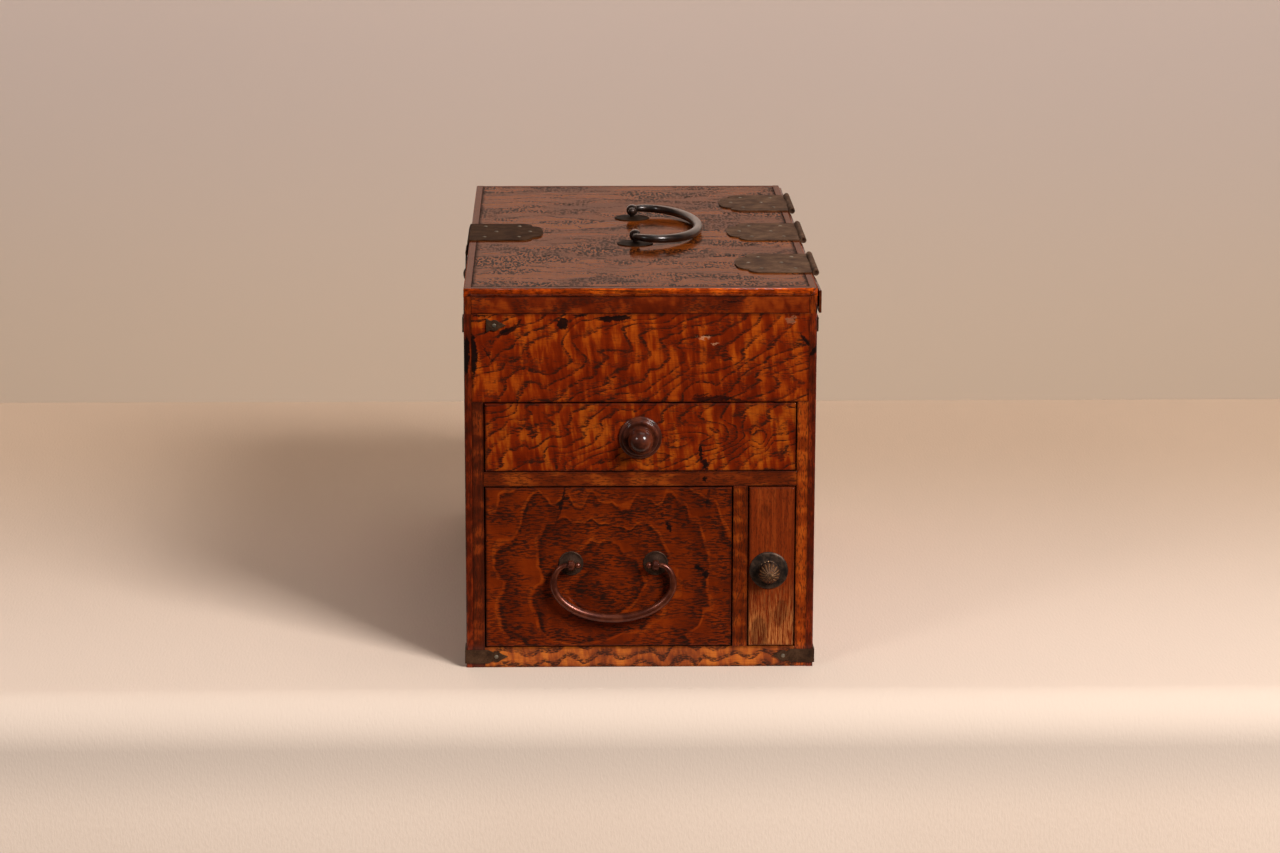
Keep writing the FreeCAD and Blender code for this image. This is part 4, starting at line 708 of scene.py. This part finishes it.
woodPieces = {
    "upper_front_panel": (figuredWood, {
        "axes": "xzy", "seed": (13, 210, 3),
        "marks": [(-100.5, 195.5, 2.4, 13.0, 2, 0.97), (-80, 210, 5.5, 1.9, 22, 0.9),
                  (-74, 214, 4.5, 0.9, 52, 0.8), (-46.5, 214.5, 3.4, 3.8, 20, 0.95),
                  (-36.5, 219.3, 4.5, 0.7, 0, 0.9), (-16, 217.6, 10.5, 1.7, 4, 0.95),
                  (-96, 219.3, 4.5, 0.7, 0, 0.85), (-91.5, 196, 6.0, 0.55, -57, 0.7),
                  (100.5, 202.4, 7.5, 0.9, -50, 0.92), (44, 168.2, 13, 1.8, 2, 0.8),
                  (36, 170.4, 6, 0.8, 8, 0.7), (57, 167.6, 5, 0.9, -10, 0.8)],
        "scuffs": [(38, 205.5, 4.6, 0.8, 4, 0.55), (45, 202, 2.2, 0.6, 30, 0.5),
                   (90.3, 216.5, 3.0, 2.0, 20, 0.22)]}),
    "shallow_drawer_front": (figuredWood, {
        "axes": "xzy", "seed": (90, 20, 31), "slope": -0.62, "spacing": 8.6, "wander": 26,
        "tones": ((91, 21, 2), (121, 35, 4), (169, 78, 14)), "wanderLength": (38, 24, 60),
        "swirls": [(48, 143, 24, 15, 22), (73.5, 141, 8, 11, 16), (-50, 138, 30, 20, 12)],
        "marks": [(36.6, 134.5, 1.1, 5.5, 3, 0.95), (39.5, 127.5, 1.9, 3.6, 12, 0.9)]}),
    "deep_drawer_front": (figuredWood, {
        "axes": "xzy", "seed": (5, 77, 60), "tones": ((82, 23, 3), (114, 37, 4), (150, 61, 11)),
        "line": (30, 14, 8), "lift": 0.0, "slope": 0.0, "spacing": 15.5, "wander": 15,
        "wanderLength": (38, 30, 60), "ripple": 0.9, "rippleLength": (11, 26, 34), "bands": (16, 30, 40),
        "jitter": 1.2, "rounds": [(-22, 54, 62, 52, 50)], "plateau": 34, "fingers": (12, 40, 60, 92),
        "lineWidth": 0.2, "lineStrength": 0.72, "pores": 0.86, "poreSize": (4.8, 0.9, 0.9),
        "dash": (0.45, 0.56), "poreReach": 0.85, "serrate": 1.2, "patch": 0.7, "patchFrom": 0.4,
        "glow": 0.4, "glowFrom": 0.84, "shade": 0.2, "contrast": 0.85, "gloss": 0.6,
        "marks": [(-47, 106, 1.1, 8, -14, 0.85), (-50, 95, 0.8, 5, -14, 0.6), (41, 106, 1.2, 6, -10, 0.6),
                  (17.5, 88.5, 1.2, 3.4, 24, 0.95), (36, 62.5, 3.2, 1.4, -30, 0.97),
                  (40, 58.5, 2.0, 2.2, -40, 0.95), (13.5, 96, 1.0, 1.8, 0, 0.6),
                  (-62, 34, 3.6, 0.6, -8, 0.75), (-60, 26, 1.2, 9, 6, 0.35)]}),
    "narrow_drawer_front": (straightWood, {
        "axes": "zxy", "tones": ((94, 31, 8), (117, 42, 11), (137, 57, 18)), "pores": 0.4, "mottle": 0.12,
        "pale": (18, 62), "seed": (4, 9, 2),
        "marks": [(20, 73, 12, 5, 0, 0.45), (34, 86, 9, 4, 10, 0.35), (98, 76, 5, 3, 0, 0.25)]}),
    "bottom_rail": (figuredWood, {
        "axes": "xzy", "seed": (33, 5, 14), "tones": ((102, 37, 5), (148, 66, 13), (188, 99, 26)),
        "slope": -0.1, "spacing": 8.5, "wander": 4, "wanderLength": (34, 18, 30), "bands": (6, 20, 22),
        "ripple": 11, "rippleLength": (14, 60, 30), "jitter": 0.8, "serrate": 1.2, "lineWidth": 0.5,
        "lineStrength": 0.85, "poreSize": (2.4, 0.8, 0.8), "patch": 0.3}),
    "middle_rail": (straightWood, {
        "axes": "xzy", "tones": ((76, 24, 6), (107, 38, 9), (150, 66, 16)), "mottle": 0.6,
        "mottleSize": (16, 9, 9), "seed": (71, 4, 9), "marks": [(39, 118.4, 1.4, 1.7, 0, 0.95)]}),
    # painted shade and light: the left stile has darker tones and the right stile lighter ones, as the light
    # falls from the right
    "left_stile": (straightWood, {
        "tones": ((54, 17, 7), (86, 29, 9), (134, 52, 14)), "mottle": 0.6, "mottleSize": (9, 16, 16),
        "seed": (12, 40, 0)}),
    "right_stile": (straightWood, {
        "tones": ((98, 31, 6), (144, 56, 11), (174, 78, 19)), "mottle": 0.62, "mottleSize": (8, 18, 18),
        "seed": (60, 10, 0)}),
    "divider_post": (straightWood, {
        "tones": ((68, 20, 4), (106, 37, 7), (152, 66, 15)), "mottle": 0.6, "mottleSize": (9, 16, 16),
        "seed": (31, 70, 0)}),
    "body_corner_beads": (straightWood, {
        "tones": ((49, 15, 5), (87, 25, 7), (135, 47, 13)), "mottle": 0.45, "seed": (10, 20, 30),
        "marks": [(195.5, -104.5, 12.0, 2.0, 2, 0.97), (197, 104, 4.0, 1.4, 40, 0.9)]}),
    "left_side_board": (figuredWood, {
        "axes": "yzx", "seed": (210, 140, 9), "slope": 0.2, "spacing": 14, "wander": 40,
        "wanderLength": (80, 36, 80), "bands": (8, 50, 40), "lineStrength": 0.75,
        "swirls": [(60, 110, 70, 60, 24)]}),
    "right_side_board": (figuredWood, {
        "axes": "yzx", "seed": (20, 310, 60), "slope": -0.2, "spacing": 14, "wander": 40,
        "wanderLength": (80, 36, 80), "bands": (8, 50, 40), "lineStrength": 0.75,
        "swirls": [(-50, 120, 80, 55, 24)]}),
    "back_board": (figuredWood, {
        "axes": "xzy", "seed": (310, 10, 60), "slope": 0.3, "spacing": 12, "wander": 34,
        "lineStrength": 0.8}),
    "bottom_board": (bareWood, {"axes": "yxz"}),
    "lid_panel": (figuredWood, {
        "axes": "xyz", "seed": (40, 90, 5), "tones": ((82, 36, 10), (103, 48, 12), (123, 61, 19)),
        "line": (28, 16, 10), "slope": 0.1, "spacing": 21, "wander": 34, "wanderLength": (54, 60, 60),
        "bands": (70, 36, 40), "bandBend": 0, "ripple": 5, "rippleLength": (16, 40, 40),
        "swirls": [(-10, -120, 40, 30, 30), (52, -150, 22, 22, 26), (-60, -60, 40, 30, -24)],
        "poreSize": (1.5, 5.2, 0.9), "pores": 0.95, "dash": (0.46, 0.55), "patch": 1.0,
        "patchSize": (44, 24, 30), "lineWidth": 0.14, "lineStrength": 0.7, "poreReach": 0.2,
        "serrate": 4.0, "patchFrom": 0.46, "shade": 0.0, "glow": 0.1, "edge": 1.0, "edgeReach": 3.2,
        "contrast": 0.8, "gloss": 0.4, "glint": 0.0}),
    "lid_front_rim": (figuredWood, {
        "axes": "xzy", "tones": ((78, 21, 4), (106, 33, 6), (146, 58, 12)), "spacing": 26, "slope": -0.3,
        "wander": 12, "lineStrength": 0.4, "edge": 0.95, "edgeReach": 0.9, "patch": 0.8,
        "patchSize": (18, 16, 22), "bands": (12, 12, 22), "seed": (3, 8, 5),
        "marks": [(55, 228, 6, 0.5, 2, 0.85)]}),
    "lid_back_rim": (straightWood, {"axes": "xzy", "mottle": 0.6, "seed": (53, 8, 5)}),
    "lid_left_rim": (straightWood, {
        "axes": "yzx", "mottle": 0.55, "mottleSize": (22, 8, 9), "seed": (3, 80, 5)}),
    "lid_right_rim": (straightWood, {
        "axes": "yzx", "mottle": 0.55, "mottleSize": (22, 8, 9), "seed": (33, 8, 50)}),
    "lid_side_strips": (straightWood, {
        "axes": "yzx", "tones": ((50, 18, 7), (78, 30, 9), (104, 46, 14)), "mottle": 0.4,
        "seed": (33, 28, 50)}),
    # painted shade on the beads' upper faces
    "lid_top_beads": (straightWood, {
        "axes": "xyz", "tones": ((109, 32, 6), (174, 62, 10), (238, 105, 22)), "mottle": 0.55,
        "mottleSize": (8, 8, 8), "seed": (9, 4, 1), "gloss": 0.5, "glint": 0.0, "paintedTopShade": 0.95}),
    "lid_corner_beads": (straightWood, {
        "tones": ((68, 19, 4), (108, 37, 7), (147, 61, 14)), "mottle": 0.5}),
}
boardWear, liningWear = 0.35, 0.25  # millimetres worn off the edges

for nodeName, (maker, changes) in woodPieces.items():
    settings = dict(changes)
    if maker is not bareWood and not nodeName.endswith(("_beads", "_strips")):
        settings["box"] = faceBox(nodeName, settings.get("axes", straightGrain["axes"]))
    softEdged(nodeName, maker(nodeName + "_finish", **settings), boardWear)
print("woods finished")

insides = {"compartment_floor": "yxz", "drawer_shelf": "yxz", "partition_board": "yzx"}
for part, axes in {"sides": "yzx", "back": "xzy", "bottom": "yxz"}.items():
    for drawer in ("shallow", "deep", "narrow"):
        insides[f"{drawer}_drawer_{part}"] = axes
for number, (nodeName, axes) in enumerate(insides.items()):
    dusk = 0.5 if nodeName.endswith(("_bottom", "_floor")) else 0.0  # boards under things are painted darker, as shade
    seed = (number * 37, number * 11, number * 5)
    softEdged(nodeName, bareWood(nodeName + "_finish", axes=axes, seed=seed, dusk=dusk), liningWear, 1)
print("insides finished")


# iron fittings

irons = {
    "oldIron": {"tones": ((55, 37, 26), (81, 56, 40), (107, 80, 59)), "rough": 0.66, "metal": 0.3},
    "haspIron": {"tones": ((36, 22, 13), (53, 33, 20), (68, 46, 29)), "rough": 0.62, "metal": 0.15,
                 "glint": 0.02, "rub": 0.1},
    "cornerIron": {"tones": ((40, 27, 20), (68, 46, 32), (90, 64, 46)), "rub": 0.12},
    "nailIron": {"tones": ((70, 60, 50), (104, 92, 78), (140, 126, 108)), "rough": 0.4, "rub": 0.4,
                 "grain": 2.0, "relief": 0.06},
    "dropRosetteIron": {"tones": ((44, 30, 24), (66, 46, 36), (88, 64, 50)), "rough": 0.42, "rub": 0.1,
                        "relief": 0.08},
    # dark iron, painted darker still as the shadow around the carrying bail's ends
    "carryRosetteIronAndShadow": {"tones": ((20, 13, 8), (32, 21, 14), (46, 31, 21)), "rough": 0.55, "metal": 0.2,
                         "rub": 0.05, "relief": 0.08, "glint": 0.03},
}
ironFinishes = {name: ironFinish(name, **changes) for name, changes in irons.items()}

# the finish of each fitting and the millimetres worn off its edges
ironPieces = {
    **{f"{place}_hinge_{side}_leaf": ("oldIron", 0.16)
       for side in ("case", "lid") for place in ("front", "middle", "back")},
    "hinge_pins": ("oldIron", 0.1), "hasp_plate": ("haspIron", 0.16), "hasp_pin": ("oldIron", 0.1),
    "hasp_tongue": ("oldIron", 0.16), "hasp_button": ("oldIron", 0.1), "hasp_loop": ("oldIron", 0.16),
    "lock_plate": ("oldIron", 0.14), "bottom_corner_irons": ("cornerIron", 0.2),
    "upper_corner_irons": ("cornerIron", 0.2),
}
for nodeName, (iron, width) in ironPieces.items():
    softEdged(nodeName, ironFinishes[iron], width)


def islandsOf(nodeName):
    # the boxes of a node's separate solids
    work = bmesh.new()
    work.from_mesh(nodes[nodeName].data)
    bmesh.ops.remove_doubles(work, verts=work.verts, dist=weldGap)
    left = set(work.verts)
    boxes = []
    while left:
        stack = [left.pop()]
        island = []
        while stack:
            vert = stack.pop()
            island.append(vert.co.copy())
            for edge in vert.link_edges:
                other = edge.other_vert(vert)
                if other in left:
                    left.remove(other)
                    stack.append(other)
        low = Vector([min(point[i] for point in island) for i in range(3)])
        high = Vector([max(point[i] for point in island) for i in range(3)])
        boxes.append((low, high))
    work.free()
    return sorted(boxes, key=lambda box: tuple(round(value, 5) for value in box[0]))


nailHead = {
    "steps": 20, "crease": 60, "caseMiddle": 0.118,  # metres: heads above it face up, those below face down
    "profile": [(1.0, 0.0), (0.99, 0.3), (0.9, 0.62), (0.72, 0.86), (0.45, 0.98), (0.18, 1.0)],  # shares
    "lobes": 0.05, "ripples": 0.03, "dip": 0.04,
}


def nailHeads(nodeName):
    # hammered round heads, each a little different, in place of the plain ones
    rng = random.Random(len(nodeName))
    points, faces = [], []
    steps = nailHead["steps"]
    for low, high in islandsOf(nodeName):
        spans = [high[i] - low[i] for i in range(3)]
        thin = spans.index(min(spans))
        first, second = (i for i in range(3) if i != thin)
        centre = (low + high) / 2
        outward = 1 if centre[thin] > (nailHead["caseMiddle"] if thin == 2 else 0) else -1
        radius = min(spans[first], spans[second]) / 2
        base = low[thin] if outward > 0 else high[thin]
        phase = rng.uniform(0, 6.28)  # where the head's lobes stand
        faces += ringFaces(len(nailHead["profile"]), steps, len(points))
        for reach, lift in nailHead["profile"]:
            for step in range(steps):
                angle = 2 * math.pi * step / steps
                lobes = nailHead["lobes"] * (0.5 + 0.5 * math.sin(3 * angle + phase))
                ripples = nailHead["ripples"] * (0.5 + 0.5 * math.sin(7 * angle))
                dip = nailHead["dip"] * math.sin(2 * angle + phase) ** 2
                across = radius * reach * (1 - lobes - ripples)
                point = [0.0, 0.0, 0.0]
                point[first] = centre[first] + across * math.cos(angle)
                point[second] = centre[second] + across * math.sin(angle)
                point[thin] = base + outward * spans[thin] * lift * (1 - dip)
                points.append(point)
    meshPiece(nodeName + "_heads", nodeName, points, faces, ironFinishes["nailIron"], nailHead["crease"])


nailHeads("case_nails")
nailHeads("lid_nails")
print("irons finished")


# bails, their eyes and rosettes

carryDroop = math.radians(3.0)
bails = {
    "carry_bail": {"span": 96, "thin": 1.9, "thick": 3.0, "half": 58, "widest": 11, "reach": 42,
                   "centre": (0, 8, 241.5), "along": (0, -1, 0),
                   "out": (math.cos(carryDroop), 0, -math.sin(carryDroop))},
    "drop_bail": {"span": 51.5, "thin": 1.35, "thick": 2.75, "half": 36.4, "widest": 11, "reach": 33.3,
                  "centre": (-16.3, -196.5, 65.8), "along": (-1, 0, 0), "out": (0, 0, -1)},
}
# ball is its radius beyond the thin part's, and shown is how much of it stands clear of the stem
bailEye = {"half": 1.95, "gap": 0.4, "ball": 0.55, "shown": 0.84, "tip": 0.05}
bailRings = {"ball": 8, "elbow": 20, "sweep": 36, "sides": 28, "elbowShare": 5 / 12, "crease": 50}

carryBronze = bronzeFinish("carryBailBronze", tones=((24, 16, 12), (40, 26, 20), (58, 38, 28)),
                           rub=(78, 54, 40), rough=0.25, metal=0.5, coat=0.55)
dropBronze = bronzeFinish("dropBailBronze", tones=((72, 28, 15), (90, 38, 20), (108, 50, 28)),
                          rub=(144, 84, 54), rough=0.27, metal=0.6, coat=0.2)


def bailStations(bail):
    # the centre line, as (along, out, share of the way to the grip)
    lead = bail["span"] / 2 + bailEye["half"] + bailEye["gap"]
    stations = [(lead, 0.0, 0.0)]
    for step in range(1, bailRings["elbow"] + 1):
        angle = math.pi / 2 * step / bailRings["elbow"]
        share = bailRings["elbowShare"] * step / bailRings["elbow"]
        along = lead + (bail["half"] - lead) * math.sin(angle)
        stations.append((along, bail["widest"] * (1 - math.cos(angle)), share))
    for step in range(1, bailRings["sweep"] + 1):
        angle = math.pi / 2 * step / bailRings["sweep"]
        share = bailRings["elbowShare"] + (1 - bailRings["elbowShare"]) * step / bailRings["sweep"]
        out = bail["widest"] + (bail["reach"] - bail["widest"]) * math.sin(angle)
        stations.append((bail["half"] * math.cos(angle), out, share))
    return stations + [(-along, out, share) for along, out, share in reversed(stations[:-1])]


def makeBail(nodeName, material):
    # a ball on the inner end, the straight through the eye, the bow, and the same again
    bail = bails[nodeName]
    along, out, centre = Vector(bail["along"]), Vector(bail["out"]), Vector(bail["centre"])
    across = along.cross(out)
    inner = bail["span"] / 2 - bailEye["half"] - bailEye["gap"]
    ball = bail["thin"] + bailEye["ball"]
    end = []
    for step in range(bailRings["ball"] + 1):
        angle = math.pi * (1 - step / bailRings["ball"] * bailEye["shown"])
        end.append((inner - ball + ball * math.cos(angle), 0.0, max(ball * math.sin(angle), bailEye["tip"])))
    end += [(inner, 0.0, bail["thin"]), (bail["span"] / 2, 0.0, bail["thin"])]
    bow = [(a, o, bail["thin"] + (bail["thick"] - bail["thin"]) * math.sin(math.pi / 2 * share))
           for a, o, share in bailStations(bail)]
    line = end + bow + [(-a, o, radius) for a, o, radius in reversed(end)]
    spots = [centre + along * a + out * o for a, o, radius in line]
    points = []
    for number, spot in enumerate(spots):
        before, after = spots[max(number - 1, 0)], spots[min(number + 1, len(spots) - 1)]
        side = (after - before).normalized().cross(across).normalized()
        for step in range(bailRings["sides"]):
            angle = 2 * math.pi * step / bailRings["sides"]
            points.append((spot + (side * math.cos(angle) + across * math.sin(angle)) * line[number][2]) * mm)
    meshPiece(nodeName + "_bow", nodeName, points, ringFaces(len(spots), bailRings["sides"]), material,
              bailRings["crease"])


makeBail("carry_bail", carryBronze)
makeBail("drop_bail", dropBronze)
softEdged("carry_posts", carryBronze, 0.14)
softEdged("drop_posts", dropBronze, 0.12)

rosettes = {
    "carry_rosettes": {"centres": [(0, -40, 236), (0, 56, 236)], "axis": (0, 0, 1), "radius": 11.5,
                       "rise": 1.3, "finish": "carryRosetteIronAndShadow"},
    "drop_rosettes": {"centres": [(-42.05, -191.5, 65.8), (9.45, -191.5, 65.8)], "axis": (0, -1, 0),
                      "radius": 7.6, "rise": 1.3, "finish": "dropRosetteIron"},
}


def makeRosettes(nodeName):
    # shallow domes with a thin rolled rim, and a hole for the post
    rosette = rosettes[nodeName]
    radius, rise = rosette["radius"], rosette["rise"]
    profile = [
        (radius, 0.0), (radius, 0.25), (radius - 0.12, 0.5), (radius - 0.45, 0.62), (radius - 0.9, 0.58),
        (radius - 1.3, 0.52), (radius * 0.72, 0.72), (radius * 0.5, 0.98), (3.2, rise - 0.06), (1.62, rise),
        (1.55, rise - 0.2), (1.55, 0.0)]
    for number, centre in enumerate(rosette["centres"]):
        turning = {"centre": centre, "axis": rosette["axis"], "profile": profile, "steps": 64, "crease": 50}
        turnedPiece(f"{nodeName}_{number}", nodeName, turning, ironFinishes[rosette["finish"]],
                    replaces=number == 0)


for nodeName in rosettes:
    makeRosettes(nodeName)
print("bails finished")


# knobs

turnedKnob = {
    "centre": (0, -191.5, 144.4), "axis": (0, -1, 0), "steps": 64, "crease": 75,
    "profile": [
        (2.2, -8.0), (2.2, 0.0), (12.85, 0.0), (13.0, 0.25), (13.0, 0.9), (12.8, 1.4), (12.2, 1.75),
        (11.5, 1.8), (11.15, 1.9), (11.0, 2.3), (10.95, 2.7), (10.6, 3.2), (9.9, 3.4), (9.1, 3.3), (8.4, 2.9),
        (7.4, 2.75), (6.2, 2.95), (5.2, 3.4), (4.7, 3.9), (5.3, 4.5), (6.3, 5.6), (7.05, 7.0), (7.45, 8.5),
        (7.6, 10.0), (7.45, 11.5), (6.95, 13.1), (6.1, 14.6), (5.0, 15.75), (3.8, 16.6), (2.6, 17.15),
        (1.3, 17.48), (0.2, 17.55)],
}
knobLacquer = bronzeFinish("knobLacquer", tones=((48, 20, 12), (70, 30, 18), (92, 42, 24)), rub=(108, 58, 36),
                           rough=0.35, metal=0.0, coat=0.7, glint=0.08)
turnedPiece("turned_knob_turning", "turned_knob", turnedKnob, knobLacquer)

flowerKnob = {
    "centre": (78.45, -191.5, 61), "axis": (0, -1, 0), "steps": 192, "crease": 75,
    "profile": [(2.2, -8.0), (2.2, 0.0), (11.9, 0.0), (12.0, 0.3), (11.9, 0.7), (11.4, 1.05), (10.4, 1.2),
                (8.5, 1.28), (6.4, 1.3), (5.6, 1.6), (5.5, 2.2)],
    "plate": 1.3, "petals": 16, "petalDepth": 0.55, "head": 6.8, "headCentre": 5.68, "tip": 0.25,
    "headRings": 14, "headFrom": -28, "headTurn": 117,  # degrees, from below the widest ring to the top
    "tones": ((26, 19, 15), (52, 38, 29), (84, 62, 48)), "headTone": (76, 47, 27),
    "chaseTone": (190, 140, 92),
}
for step in range(1, flowerKnob["headRings"] + 1):
    angle = math.radians(flowerKnob["headFrom"] + flowerKnob["headTurn"] * step / flowerKnob["headRings"])
    flowerKnob["profile"].append((max(flowerKnob["head"] * math.cos(angle), flowerKnob["tip"]),
                                  flowerKnob["headCentre"] + flowerKnob["head"] * math.sin(angle)))


def flowerFinish():
    # a nearly black base plate, and a bronze head whose chased lines are rubbed bright
    f = Finish("flowerBronze")
    point = f.place("xzy")
    cloud = f.noise(point, 5, 4, 0.65)
    speck = f.noise(point, 0.7, 3, 0.6)
    base = f.shades(cloud.rise(0.3, 0.7), flowerKnob["tones"])
    u, v = f.parts(point)[:2]
    centreU, centreV = flowerKnob["centre"][0], flowerKnob["centre"][2]
    reach = f.spot(point, (centreU, centreV), (1, 1))
    chase = ((v - centreV).angle(u - centreU) * flowerKnob["petals"] + cloud * 3).sine().rise(0.1, 0.9)
    head = reach.rise(6.6, 5.6)
    lines = chase * reach.rise(0.3, 1.6) * head * speck.rise(0.3, 0.6)
    base = f.mix(base, flowerKnob["headTone"], head * 0.6)
    base = f.mix(base, flowerKnob["chaseTone"], lines * 0.75)
    height = cloud * 0.5 + speck * 0.2 + lines * 0.3
    return f.close(base, 0.42 + speck * 0.15 - lines * 0.12, height, 0.08, metal=0.7)


def flowerShape(radius, height, angle):
    # an uneven base plate, and petals on the head
    if height <= flowerKnob["plate"]:
        uneven = 0.5 * math.sin(2 * angle + 0.7) + 0.3 * math.sin(5 * angle + 2.1)
        return (radius - 0.25 * (1 + uneven) if radius > 9 else radius), height
    petal = abs(math.sin(flowerKnob["petals"] / 2 * angle))
    depth = flowerKnob["petalDepth"] * (1 - petal) ** 1.5 * min(1.0, max(0.0, (radius - 1.0) / 2.0))
    return radius - depth * 0.5, height - depth * 0.8


turnedPiece("chrysanthemum_knob_flower", "chrysanthemum_knob", flowerKnob, flowerFinish(), shape=flowerShape)
print("knobs finished")

for name, node in nodes.items():
    if not node.hide_render:
        print("still shown as packed:", name)
